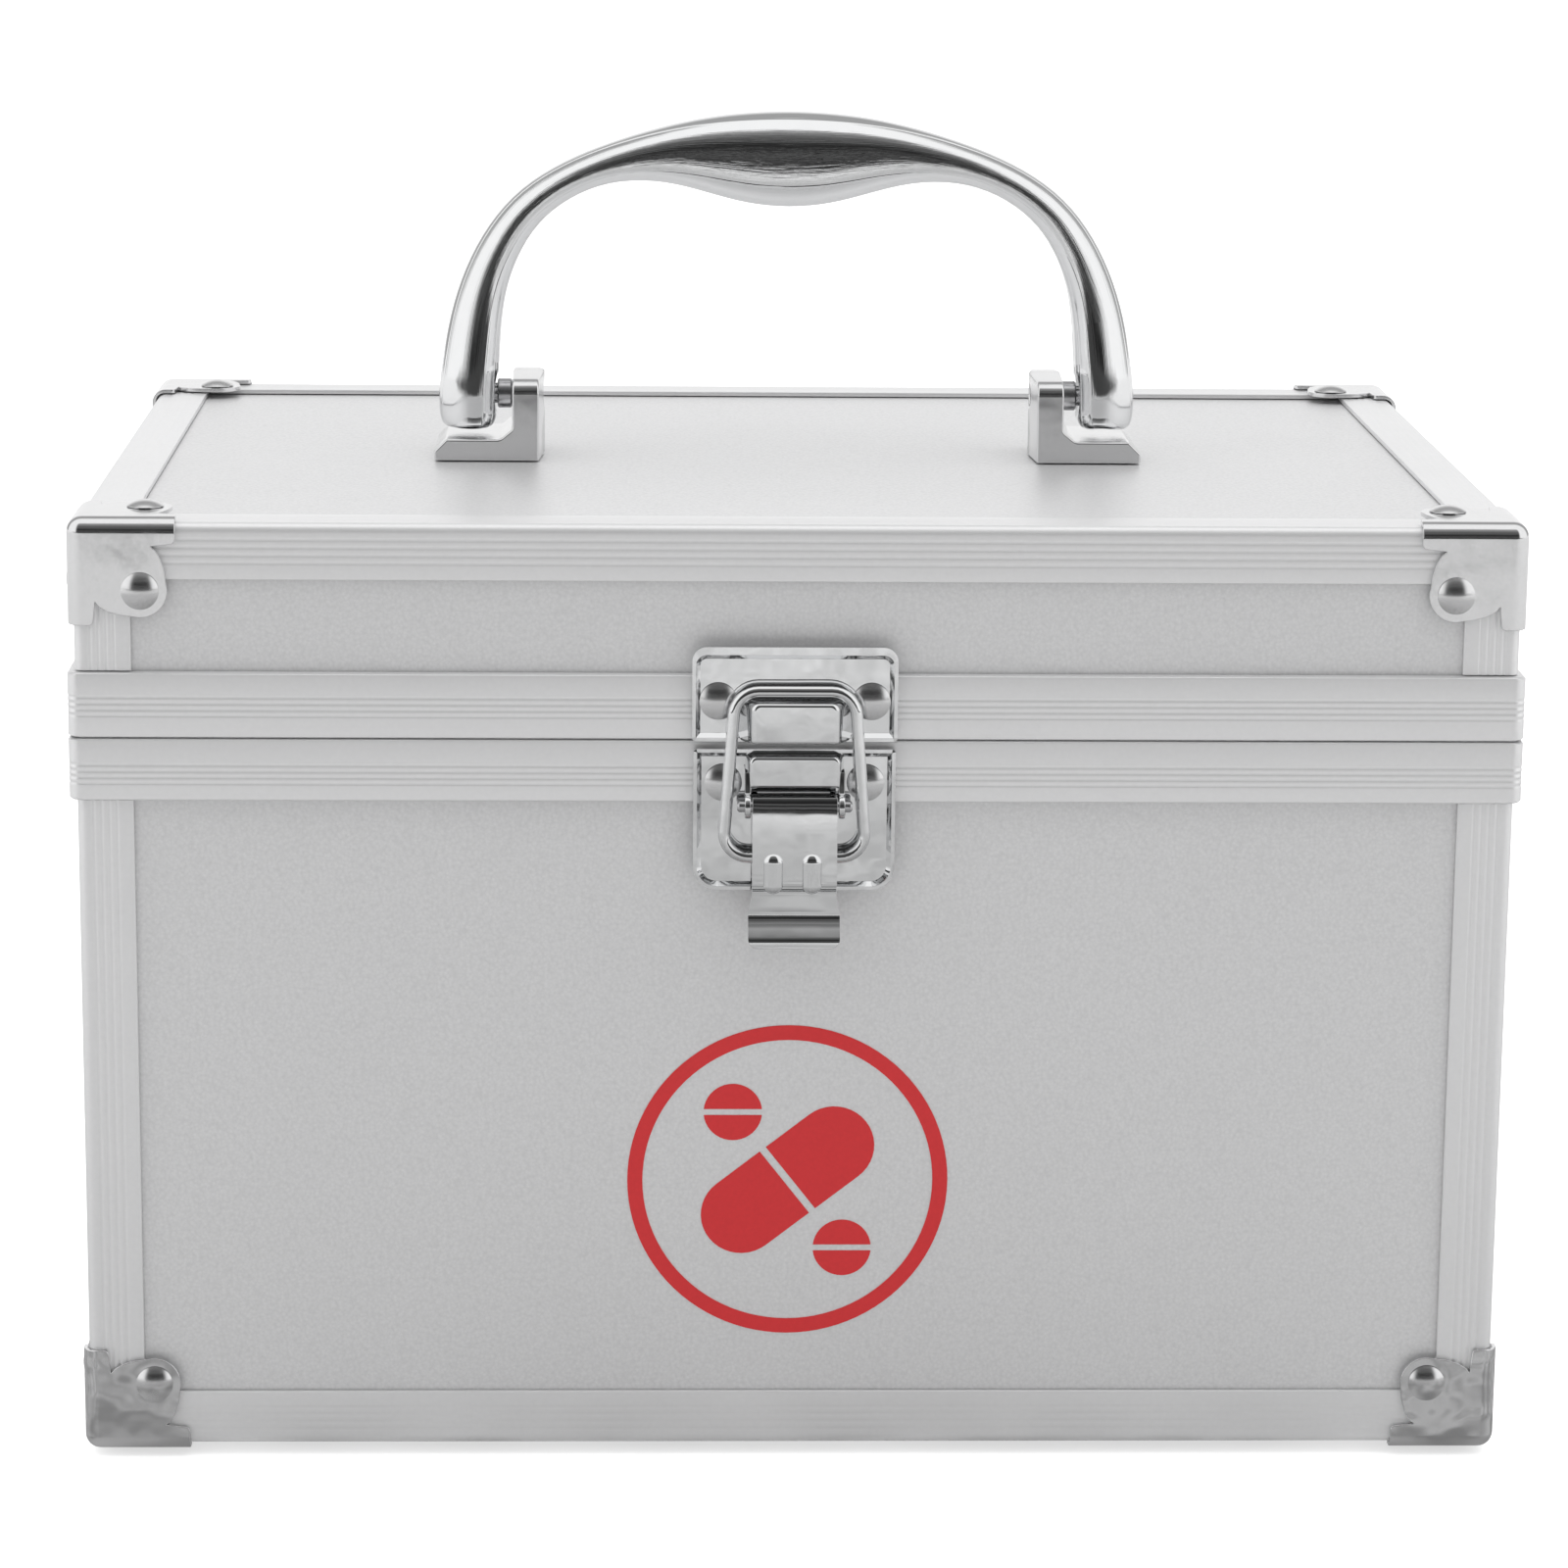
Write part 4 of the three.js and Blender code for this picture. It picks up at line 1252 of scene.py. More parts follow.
    def at(self, across: float, out: float, rise: float) -> Vector:
        """Turns a place across, out from the rims' face and up from the seam into the part's frame."""
        return Vector((self.centre + across, self.face - out, self.seam + rise))

    def pan(
        self, name: str, half: float, square: float, round_end: float, corner: float, crest: float = 0.0
    ) -> Piece:
        """Models a stamped plate whose rim stands proud all round.

        Args:
            name: The new object's name.
            half: Half its width.
            square: The level of the end with sharp corners.
            round_end: The level of the end with round corners.
            corner: The round corners' radius.
            crest: How much wider the rim is at the round end.

        Returns:
            The plate.
        """
        away = math.copysign(1, round_end - square)
        turn = [*arc((half - corner, 0), corner, 0, 90, steps=8),
                *arc((corner - half, 0), corner, 90, 180, steps=8)]
        small = self.square_corner
        foot = [*arc((small - half, 0), small, 180, 270, steps=4),
                *arc((half - small, 0), small, 270, 360, steps=4)]
        outline = [(x, square + away * (small + z)) for x, z in foot]
        outline += [(x, round_end - away * (corner - z)) for x, z in turn]
        points = [self.at(x, self.plate_back, z) for x, z in outline]
        plate = prism(name, points, -Axis.Y.value * (self.plate + self.rim_rise))
        edit(plate)
        front = min(vertex.co.y for vertex in plate.data.vertices)
        pick(plate, "FACE", lambda face: abs(face.calc_center_median().y - front) < LEVEL * MM
             and face.normal.y < -FACING)
        bpy.ops.mesh.inset(thickness=self.plate_rim * self.rim_share * MM, depth=0)
        if crest:
            end = (self.seam + round_end) * MM
            reach = corner * self.crest_share * MM
            chosen = {vertex.index for vertex in bmesh.from_edit_mesh(plate.data).verts if vertex.select}
            pick(plate, "VERT", lambda vertex: vertex.index in chosen and abs(vertex.co.z - end) < reach)
            bpy.ops.transform.translate(value=(0, 0, -away * crest * MM))
            pick(plate, "FACE", lambda face: face.normal.y < -FACING
                 and {vertex.index for vertex in face.verts} <= chosen)
        bpy.ops.mesh.inset(thickness=self.plate_rim * (1 - self.rim_share) * MM, depth=-self.rim_rise * MM)
        leave_edit()
        soften(plate, self.plate_edge, segments=3, angle=20)
        return plate

    def bevelled_block(
        self, name: str, half: float, face_half: float, low: float, high: float, reach: float
    ) -> Piece:
        """Models a raised block with slanting sides and rounded edges.

        Args:
            name: The new object's name.
            half: Half its width at the plate.
            face_half: Half its width at the front.
            low: Its lower level.
            high: Its upper level.
            reach: Its front, outward from the rims' face.

        Returns:
            The block.
        """
        inside = self.plate_back + self.plate / 2
        made = block(name, self.at(-half, reach, low), self.at(half, inside, high))
        edit(made)
        pick(made, "FACE", lambda face: face.normal.y < -FACING)
        middle = self.at(0, reach, (low + high) / 2) * MM
        bpy.ops.transform.resize(value=(face_half / half, 1, self.block_share), center_override=middle)
        long = (reach - inside) / 2 * MM
        pick(made, "EDGE", lambda edge: abs(edge.verts[0].co.y - edge.verts[1].co.y) > long
             and edge.verts[0].co.z > middle.z)
        bpy.ops.mesh.bevel(offset=self.block_corner * MM, segments=5, affect="EDGES")
        leave_edit()
        soften(made, self.block_edge, segments=4, angle=20)
        return made

    def rivets(self, label: str, place: Pair, body: Body) -> None:
        """Models a pair of rivets on a plate.

        Args:
            label: The nodes' name without the side.
            place: Their distance from the middle and their level.
            body: The body they ride on.
        """
        front = self.plate_back + self.plate
        for side, sign in SIDES.items():
            foot = self.at(sign * place[0], front + self.rivet_lift, place[1])
            rivet = domed_rivet(f"{label}_{side}_dome", foot, -Axis.Y.value, self.rivet_radius,
                                self.rivet_height, self.rivet_root)
            dress(rivet, RIVET, body, [f"{label}_{side}"], smooth=40)

    def keeper(self) -> None:
        """Models the keeper on the lid."""
        plate = self.pan("keeper_plate", self.keeper_half, self.keeper_low, self.keeper_high,
                         self.keeper_corner, self.keeper_crest)
        hook = self.bevelled_block("keeper_hook", self.hook_half, self.hook_face_half, self.keeper_low,
                                   self.hook_top, self.hook_reach)
        whole = joined("keeper_with_hook", [plate, hook])
        dress(whole, CHROME, Body.LID, ["latch_keeper"], smooth=40)
        self.rivets("latch_keeper_rivet", self.keeper_rivet, Body.LID)

    def catch(self) -> None:
        """Models the catch plate on the base, with its bridge, ears and pin."""
        plate = self.pan("catch_pan", self.catch_half, self.catch_high, self.catch_low, self.catch_corner)
        bridge = self.bevelled_block("catch_bridge", self.ear_outer, self.ear_outer - self.bridge_draft,
                                     self.bridge_low, self.bridge_high, self.pin_reach)
        inside = self.plate_back + self.plate / 2
        middle = (self.bridge_high + self.bridge_low) / 2
        turn = arc((self.pin_reach, self.pin_level), self.ear_boss, 90, -90, steps=10)
        boss = [(-out, rise) for out, rise in turn]
        flat = [(-inside, middle), (-self.pin_reach + self.ear_step, middle), *boss,
                (-inside, self.pin_level - self.ear_boss)]
        ears = []
        for side, sign in SIDES.items():
            start = self.centre + (self.ear_inner if sign > 0 else -self.ear_outer)
            points = in_yz([(self.face + y, self.seam + z) for y, z in flat], start)
            ear = prism(f"catch_ear_{side}", points, Axis.X.value * (self.ear_outer - self.ear_inner))
            soften(ear, self.ear_edge, segments=2, angle=40)
            ears.append(ear)
        whole = joined("catch_with_bridge", [plate, bridge, *ears])
        dress(whole, CHROME, Body.BASE, ["latch_catch_plate"], smooth=40)
        profile = pin_profile(self.pin_radius, self.pin_half, self.pin_edge)
        place = self.at(0, self.pin_reach, self.pin_level)
        pin = turned("lever_pin_turned", profile, place, Axis.X.value, steps=20)
        dress(pin, STEEL, Body.BASE, ["lever_pin"])
        self.rivets("latch_catch_rivet", self.catch_rivet, Body.BASE)

    def bent_sheet(self) -> Piece:
        """Models the lever's sheet: one bent strip in the side view, cut to its front view.

        Returns:
            The sheet.
        """
        outer = [(-out * self.lever_belly, rise * self.lever_length) for out, rise in self.lever_shares]
        inner = [(y + self.lever_sheet, z) for y, z in reversed(outer)]
        flare, lip, foot = self.lever_flare, self.lip_corner, outer[-1][1]
        points = in_yz([(self.pin_y + y, self.pin_z + z) for y, z in [*outer, *inner]], self.centre - flare)
        sheet = prism("lever_sheet", points, Axis.X.value * 2 * flare)
        right = [(self.lever_half, self.lever_head), (self.lever_half, -self.waist_share * self.lever_length),
                 (flare, -self.flare_share * self.lever_length),
                 *arc((flare - lip, lip + foot), lip, 0, -90, steps=8)]
        front = [*right, *[(-x, z) for x, z in reversed(right)]]
        outline = in_xz([(self.centre + x, self.pin_z + z) for x, z in front], self.pin_y - self.cutter_half)
        combine(sheet, prism("lever_front", outline, Axis.Y.value * 2 * self.cutter_half), "INTERSECT")
        tidy_shell(sheet)
        soften(sheet, self.sheet_edge, segments=3, angle=50)
        return sheet

    def cheek(self, side: str, sign: int) -> Piece:
        """Models one cheek of the lever, bored for the lever's pin and for the bail.

        Args:
            side: Left or right.
            sign: Its sign along X.

        Returns:
            The cheek.
        """
        start = self.centre + (self.lever_half - self.lever_sheet if sign > 0 else -self.lever_half)
        bar = (self.bar_in, -self.bar_drop)
        outline = [*self.cheek_brow, *arc((0, 0), self.cheek_pin_boss, 90, 0, steps=6),
                   *arc(bar, self.cheek_bar_boss, 0, -90, 6),
                   (-self.cheek_chin, -self.cheek_share * self.lever_length), (-self.cheek_front, bar[1])]
        points = in_yz([(self.pin_y + y, self.pin_z + z) for y, z in outline], start)
        cheek = prism(f"lever_cheek_{side}", points, Axis.X.value * self.lever_sheet)
        reach = self.bore_half
        for (y, z), shaft in (((0, 0), self.pin_radius), (bar, self.wire)):
            radius = shaft + self.hole_gap
            middle = Vector((start + self.lever_sheet / 2, self.pin_y + y, self.pin_z + z))
            profile = [(0, -reach), (radius, -reach), (radius, reach), (0, reach)]
            combine(cheek, turned("lever_hole", profile, middle, Axis.X.value, steps=24), "DIFFERENCE")
        return cheek

    def rib(self, index: int, across: float) -> Piece:
        """Models one pressed rib as a low dome on the lever's face, drawn out downward.

        Args:
            index: Which rib.
            across: Its place across from the latch's middle.

        Returns:
            The rib.
        """
        clear_selection()
        place = Vector((self.centre + across, self.pin_y - self.lever_belly * self.rib_sink_share,
                        self.pin_z + self.rib_top - self.rib_half))
        size = Vector((self.rib_half, self.rib_proud + self.rib_root, self.rib_half))
        bpy.ops.mesh.primitive_uv_sphere_add(segments=32, ring_count=20, radius=1, location=place * MM,
                                             scale=size * MM)
        rib = named(f"lever_rib_{index}")
        edit(rib)
        pick(rib, "VERT", lambda vertex: vertex.co.z < (place.z - LEVEL) * MM)
        bpy.ops.transform.translate(value=(0, 0, (self.rib_bottom - self.rib_top + 2 * self.rib_half) * MM))
        leave_edit()
        return rib

    def lever(self) -> None:
        """Models the lever: a bent sheet with a rounded lip, two cheeks and two pressed ribs."""
        parts = [self.bent_sheet()]
        parts += [self.cheek(side, sign) for side, sign in SIDES.items()]
        parts += [self.rib(index, across) for index, across in enumerate(self.rib_places)]
        dress(joined("lever_pressed", parts), CHROME, Body.LEVER, ["latch_lever"], smooth=45)

    def bail(self) -> None:
        """Bends the wire bail: straight runs and turns of one round section."""
        rise = math.atan2(self.bail_bottom_half - self.bail_top_half, self.bail_height)
        low_turn, high_turn = math.pi / 2 + rise, math.pi / 2 - rise
        low_cut = self.bail_bottom_corner * math.tan(low_turn / 2)
        high_cut = self.bail_top_corner * math.tan(high_turn / 2)
        side = self.bail_height / math.cos(rise) - low_cut - high_cut
        bar = 2 * (self.bail_bottom_half - low_cut)
        top = 2 * (self.bail_top_half - high_cut)
        runs = [(bar, self.bail_bottom_corner, low_turn), (side, self.bail_top_corner, high_turn),
                (top, self.bail_top_corner, high_turn), (side, self.bail_bottom_corner, low_turn)]
        out = self.pin_reach - self.bar_in
        place = self.at(-bar / 2, out, self.pin_level - self.bar_drop)
        clear_selection()
        bpy.ops.mesh.primitive_circle_add(vertices=20, radius=self.wire * MM, location=place * MM,
                                          rotation=(0, math.pi / 2, 0))
        wire = named("bail_wire")
        edit(wire)
        select_everything()
        heading = 0.0
        for length, corner, turn in runs:
            along = Vector((math.cos(heading), 0, math.sin(heading)))
            extrude(along * length)
            place = place + along * length
            inward = Vector((-math.sin(heading), 0, math.cos(heading)))
            centre = place + inward * corner
            bpy.ops.mesh.spin(steps=8, angle=turn, center=centre * MM, axis=Axis.Y.value)
            heading += turn
            place = centre + Vector((math.sin(heading), 0, -math.cos(heading))) * corner
        leave_edit()
        tidy_shell(wire, LEVEL)
        dress(wire, CHROME, Body.BAIL, ["latch_bail"], smooth=60)

    def build(self) -> None:
        """Builds the whole latch."""
        self.keeper()
        self.catch()
        self.lever()
        self.bail()


# The rear hinges


@dataclass
class RearHinge:
    """One rear hinge: two leaves with rolled knuckles, their rivets, the stop lug and the pin."""

    side: str
    plate_back: float = 0.3
    leaf: float = 1.2
    height: float = 12.5
    width: float = 40.0
    barrel: float = 3.0
    leaf_corner: float = 1.6
    leaf_edge: float = 0.25
    neck_overlap: float = 1.0
    pin_radius: float = 1.5
    pin_edge: float = 0.35
    bore_gap: float = 0.15
    knuckle_edge: float = 0.25
    centre_knuckle: float = 14.0
    clearance: float = 0.3
    rivet_across: float = 13.5
    rivet_rise: float = 7.9
    rivet_radius: float = 2.6
    rivet_height: float = 1.1
    rivet_root: float = 0.5
    lug_length: float = 6.0
    lug_thickness: float = 1.2
    lug_drop: float = 5.66
    lug_gap: float = 0.6
    lug_inset: float = 0.3
    lug_edge: float = 0.3

    def __post_init__(self) -> None:
        """Reads the hinge's place from the frame."""
        low, high = node_box(f"hinge_pin_{self.side}")
        axis = joint_place("lid_hinge")
        self.axis_place = Vector(((low.x + high.x) / 2, axis.y, axis.z))
        self.face = node_box("lid_rim")[1].y

    def knuckle(self, name: str, start: float, end: float) -> Piece:
        """Models one knuckle as a bored roll.

        Args:
            name: The new object's name.
            start: Its lower end along X from the hinge's middle.
            end: Its upper end.

        Returns:
            The knuckle.
        """
        bore, edge = self.pin_radius + self.bore_gap, self.knuckle_edge
        barrel = self.barrel
        profile = [(bore, start), (barrel - edge, start), (barrel, start + edge), (barrel, end - edge),
                   (barrel - edge, end), (bore, end), (bore, start)]
        return turned(name, profile, self.axis_place, Axis.X.value)

    def leaf_plate(self, name: str, up: int, spans: Sequence[Pair]) -> list[Piece]:
        """Models a leaf's plate with the necks that reach its knuckles.

        Args:
            name: The new objects' first name.
            up: 1 for the lid's leaf and -1 for the base's.
            spans: The knuckles' spans along X.

        Returns:
            The parts.
        """
        half, small = self.width / 2, self.leaf_corner
        start = self.barrel + self.clearance
        outline = [(-half, start), (half, start),
                   *arc((half - small, self.height - small), small, 0, 90, steps=5),
                   *arc((small - half, self.height - small), small, 90, 180, steps=5)]
        back = self.face + self.plate_back
        flat = [(self.axis_place.x + x, self.axis_place.z + up * z) for x, z in outline]
        plate = prism(f"{name}_plate", in_xz(flat, back), Axis.Y.value * self.leaf)
        soften(plate, self.leaf_edge, segments=2, angle=40)
        parts = [plate]
        levels = sorted((0.0, up * (start + self.neck_overlap)))
        for index, (low, high) in enumerate(spans):
            neck = block(f"{name}_neck_{index}",
                         Vector((self.axis_place.x + low, back, self.axis_place.z + levels[0])),
                         Vector((self.axis_place.x + high, back + self.leaf, self.axis_place.z + levels[1])))
            parts += [neck, self.knuckle(f"{name}_roll_{index}", low, high)]
        for sign in SIDES.values():
            foot = Vector((self.axis_place.x + sign * self.rivet_across, back + self.leaf,
                           self.axis_place.z + up * self.rivet_rise))
            parts.append(domed_rivet(f"{name}_rivet", foot, Axis.Y.value, self.rivet_radius,
                                     self.rivet_height, self.rivet_root, steps=24))
        return parts

    def build(self) -> None:
        """Builds both leaves and the pin."""
        half, middle, gap = self.width / 2, self.centre_knuckle / 2, self.clearance / 2
        lid_parts = self.leaf_plate(f"lid_leaf_{self.side}", 1, [(gap - middle, middle - gap)])
        reach, thick = middle - self.lug_inset, self.lug_thickness / 2
        lug = block("lug", self.axis_place + Vector((-reach, self.pin_radius + self.lug_gap, -thick)),
                    self.axis_place + Vector((reach, self.lug_length, thick)))
        there, back = Matrix.Translation(self.axis_place * MM), Matrix.Translation(-self.axis_place * MM)
        lug.data.transform(there @ Matrix.Rotation(-math.radians(self.lug_drop), 4, "X") @ back)
        soften(lug, self.lug_edge, segments=2, angle=40)
        lid_leaf = joined(f"hinge_lid_leaf_{self.side}_rolled", [*lid_parts, lug])
        dress(lid_leaf, STEEL, Body.LID, [f"hinge_lid_leaf_{self.side}"], smooth=40)
        spans = [(-half, -middle - gap), (middle + gap, half)]
        base_leaf = joined(f"hinge_base_leaf_{self.side}_rolled",
                           self.leaf_plate(f"base_leaf_{self.side}", -1, spans))
        dress(base_leaf, STEEL, Body.BASE, [f"hinge_base_leaf_{self.side}"], smooth=40)
        profile = pin_profile(self.pin_radius, half, self.pin_edge)
        pin = turned(f"hinge_pin_{self.side}_turned", profile, self.axis_place, Axis.X.value, steps=24)
        dress(pin, STEEL, Body.BASE, [f"hinge_pin_{self.side}"])


# The handle


@dataclass(frozen=True)
class HandleSection:
    """One section of the handle, in millimetres, with its place out from the middle and up from the pivot.

    Square tells how full its shoulders are, from 0 to 1, and lean how far its ridge lies inward.
    """

    out: float
    up: float
    thick: float
    deep: float
    square: float = 0.0
    lean: float = 0.0


@dataclass
class CarryHandle:
    """The cast handle, its pivot pins and the two brackets on the lid.

    Heights are measured from the pivot, and distances out from the case's middle. Each row of the leg's
    shares is a section's level, thickness and depth, and each of the arch's its place out and up, thickness,
    depth, fullness of the shoulders and lean. The bands go from a section's middle out: start, end, and how
    much of the fullness and of the lean each takes.
    """

    leg_out: float = 72.2
    rise: float = 54.35
    leg_shares: tuple[Triple, ...] = (
        (-0.97, 0.44, 0.33), (-0.93, 0.7, 0.56), (-0.84, 0.88, 0.74), (-0.62, 0.98, 0.85),
        (-0.25, 1.01, 0.88), (0.15, 1, 0.88))
    arch_shares: tuple[tuple[float, ...], ...] = (
        (0.992, 0.128, 0.605, 0.826, 0.2, 1), (0.976, 0.312, 0.552, 0.767, 0.25, 0.8),
        (0.943, 0.49, 0.481, 0.72, 0.25, 0.5), (0.881, 0.661, 0.434, 0.7, 0.2, 0.2),
        (0.796, 0.799, 0.396, 0.698, 0.1, 0), (0.672, 0.904, 0.368, 0.706, 0.1, 0),
        (0.54, 0.967, 0.406, 0.729, 0.3, 0), (0.388, 1, 0.566, 0.812, 0.7, 0),
        (0.249, 1, 0.783, 0.906, 0.95, 0), (0.125, 0.987, 0.943, 0.976, 1, 0), (0, 0.982, 1, 1, 1, 0))
    arch_centre_share: float = 0.3
    grip_half_height: float = 10.6
    grip_half_depth: float = 8.5
    leg_half: float = 6.6
    leg_end: float = 8.2
    sides: int = 20
    pin_radius: float = 2.3
    pin_inset: float = 1.3
    pin_tip: float = 0.5
    collar_radius: float = 3.35
    collar: float = 3.3
    collar_edge: float = 0.35
    bracket_depth: float = 13.0
    foot_width: float = 23.4
    foot_chamfer: float = 2.7
    upright: float = 5.9
    upright_over: float = 4.65
    upright_corner: float = 3.3
    clearance: float = 0.3
    leg_clearance: float = 0.55
    fillet: Pair = (2.8, 2.3)
    dish_radius: float = 5.4
    dish_depth: float = 1.1
    dish_share: float = 0.985
    dish_sweep_share: float = 1.25
    draft: float = 1.1
    crown: float = 0.88
    bracket_edge: float = 0.45
    bore_reach: float = 100.0
    shoulder: float = 0.11
    ridge_lean: float = 1.0
    section_bands: tuple[tuple[float, float, float, float], ...] = (
        (0.1, 0.45, 0.35, 0.3), (0.45, 0.92, 1.0, 0.65), (0.92, 0.997, 0.35, 0.95), (0.997, 1.1, 0.0, 1.0))

    def __post_init__(self) -> None:
        """Reads the pivot and the lid board's level from the frame."""
        self.pivot = joint_place("handle_fold")
        self.board = node_box("lid_board_top")[1].z

    def sections(self) -> list[HandleSection]:
        """Lists the sections from the left leg's end to the right one's, in millimetres from the pivot.

        Returns:
            The sections.
        """
        left = [HandleSection(-self.leg_out, up * self.leg_end, thick * self.leg_half, deep * self.leg_end,
                              lean=self.ridge_lean) for up, thick, deep in self.leg_shares]
        left += [HandleSection(-out * self.leg_out, up * self.rise, thick * self.grip_half_height,
                               deep * self.grip_half_depth, square, lean * self.ridge_lean)
                 for out, up, thick, deep, square, lean in self.arch_shares]
        right = [replace(section, out=-section.out) for section in reversed(left[:-1])]
        return [*left, *right]

    def cast(self) -> None:
        """Models the handle by extruding an oval section from station to station."""
        rows = self.sections()
        first = rows[0]
        place = self.pivot + Vector((first.out, 0, first.up))
        clear_selection()
        bpy.ops.mesh.primitive_circle_add(vertices=self.sides, radius=MM, fill_type="NGON",
                                          location=place * MM)
        handle = named("handle_cast")
        edit(handle)
        select_everything()
        bmesh.from_edit_mesh(handle.data).verts.layers.float.new(CAST_CHROME.across)
        bpy.ops.transform.resize(value=(first.thick, first.deep, 1), center_override=place * MM)
        self.mark_across(handle, place, first.thick)
        self.shape_section(handle, first, None)
        heading = 0.0
        for index, (row, following) in enumerate(pairwise(rows)):
            extrude(Vector((following.out - row.out, 0, following.up - row.up)))
            centre = (self.pivot + Vector((following.out, 0, following.up))) * MM
            after = rows[min(index + 2, len(rows) - 1)]
            target = math.atan2(after.out - row.out, after.up - row.up)
            bpy.ops.transform.rotate(value=heading, orient_axis="Y", center_override=centre)
            bpy.ops.transform.resize(value=(following.thick / row.thick, following.deep / row.deep, 1),
                                     center_override=centre)
            bpy.ops.transform.rotate(value=-target, orient_axis="Y", center_override=centre)
            heading = target
            self.shape_section(handle, following, row)
            self.mark_across(handle, centre / MM, following.thick)
        leave_edit()
        tidy_shell(handle)
        modify(handle, "SUBSURF", levels=2, render_levels=2)
        for sign in SIDES.values():
            self.cut_recess(handle, sign)
        dress(handle, CAST_CHROME, Body.HANDLE, ["handle"], smooth=80)

    def shape_section(self, handle: Piece, row: HandleSection, before: HandleSection | None) -> None:
        """Squares and leans the selected section, and selects the whole of it again.

        Args:
            handle: The handle in edit mode.
            row: The section.
            before: The section that it was extruded from, if any.
        """
        centre = (self.pivot + Vector((row.out, 0, row.up))) * MM
        ratio = (1 + self.shoulder * row.square) / (1 + self.shoulder * (before.square if before else 0))
        shift = self.ridge_shift(row) - (self.ridge_shift(before) if before else 0)
        mesh = bmesh.from_edit_mesh(handle.data)
        section = {vertex.index for vertex in mesh.verts if vertex.select}
        for low, high, squared, leaned in self.section_bands:
            pick(handle, "VERT", lambda vertex: vertex.index in section
                 and low < abs(vertex.co.y - centre.y) / MM / row.deep <= high)
            scale = 1 + (ratio - 1) * squared
            bpy.ops.transform.resize(value=(scale, scale, scale), center_override=centre)
            bpy.ops.transform.translate(value=(shift * leaned * MM, 0, 0))
        pick(handle, "VERT", lambda vertex: vertex.index in section)

    @staticmethod
    def ridge_shift(row: HandleSection) -> float:
        """Gives how far along X a section's ridge lies from its middle."""
        return -math.copysign(row.lean, row.out)

    def mark_across(self, handle: Piece, centre: Vector, half: float) -> None:
        """Notes for each point of the selected section how far out it lies, from -1 inside to 1 outside.

        Args:
            handle: The handle in edit mode.
            centre: The section's middle, in millimetres.
            half: The section's half-thickness, in millimetres.
        """
        mesh = bmesh.from_edit_mesh(handle.data)
        layer = mesh.verts.layers.float[CAST_CHROME.across]
        arch_rise = min(centre.z - self.pivot.z, self.rise * self.arch_centre_share)
        arch_centre = self.pivot + Vector((0, 0, arch_rise))
        for vertex in mesh.verts:
            if vertex.select:
                offset = vertex.co / MM - centre
                outward = Vector((offset.x, 0, offset.z)).length / half
                side = (vertex.co / MM - arch_centre).xz.length - (centre - arch_centre).xz.length
                vertex[layer] = math.copysign(min(outward, 1.0), side)

    def cut_recess(self, handle: Piece, sign: int) -> None:
        """Cuts the shallow dish that takes the collar on a leg's inner side.

        Args:
            handle: The handle.
            sign: The leg's sign along X.
        """
        inner = self.leg_out - self.leg_half * self.dish_share
        radius, depth = self.dish_radius, self.dish_depth
        sphere = (radius * radius + depth * depth) / (2 * depth)
        centre = inner + depth - sphere
        sweep = math.degrees(math.asin(radius / sphere))
        bowl = arc((0, 0), sphere, 0, sweep * self.dish_sweep_share, steps=8)
        profile = [(y, x + centre) for x, y in bowl]
        profile.append((0.0, profile[-1][1]))
        dish = turned("leg_dish", profile, self.pivot, Axis.X.value * sign, steps=40)
        combine(handle, dish, "DIFFERENCE")

    def build_pin(self, side: str, sign: int) -> None:
        """Models a pivot pin with its collar.

        Args:
            side: Left or right.
            sign: Its sign along X.
        """
        collar_end = self.leg_out - self.leg_half - self.clearance
        collar_start = collar_end - self.collar
        start = collar_start - self.clearance - self.upright
        end, tip, edge = self.leg_out - self.pin_inset, self.pin_tip, self.collar_edge
        thin, wide = self.pin_radius, self.collar_radius
        profile = [(0, start - tip), (thin - tip, start - tip), (thin, start), (thin, collar_start),
                   (wide - edge, collar_start), (wide, collar_start + edge), (wide, collar_end - edge),
                   (wide - edge, collar_end), (thin, collar_end), (thin, end), (0, end)]
        pin = turned(f"handle_pin_{side}_turned", profile, self.pivot, Axis.X.value * sign, steps=28)
        dress(pin, STEEL, Body.HANDLE, [f"handle_pin_{side}"], smooth=40)

    def bracket(self, side: str, sign: int) -> None:
        """Models a bracket: a chamfered foot under the leg and an upright with rounded shoulders.

        Args:
            side: Left or right.
            sign: Its sign along X.
        """
        outer_face = self.leg_out - self.leg_half - 2 * self.clearance - self.collar
        inner = outer_face - self.upright
        outer = inner + self.foot_width
        low = self.board + self.clearance
        foot_top = self.pivot.z - self.leg_end - self.leg_clearance
        top = self.pivot.z + self.upright_over
        cut = self.foot_chamfer
        flat = [(inner, low), (outer, low), (outer, foot_top - cut), (outer - cut, foot_top),
                (outer_face + self.fillet[0], foot_top), (outer_face, foot_top + self.fillet[1]),
                (outer_face, top), (inner, top)]
        points = in_xz([(sign * x, z) for x, z in flat], self.pivot.y - self.bracket_depth)
        made = prism(f"handle_bracket_{side}_cast", points, Axis.Y.value * 2 * self.bracket_depth)
        edit(made)
        pick(made, "EDGE", lambda edge: all(abs(vertex.co.z - top * MM) < LEVEL * MM for vertex in edge.verts)
             and abs(edge.verts[0].co.y - edge.verts[1].co.y) < LEVEL * MM)
        bpy.ops.mesh.bevel(offset=self.upright_corner * MM, segments=8, affect="EDGES")
        select_everything()
        middle = Vector((0, self.pivot.y * MM, 0))
        bpy.ops.mesh.bisect(plane_co=middle, plane_no=Axis.Y.value)
        reach = 2 * LEVEL * MM
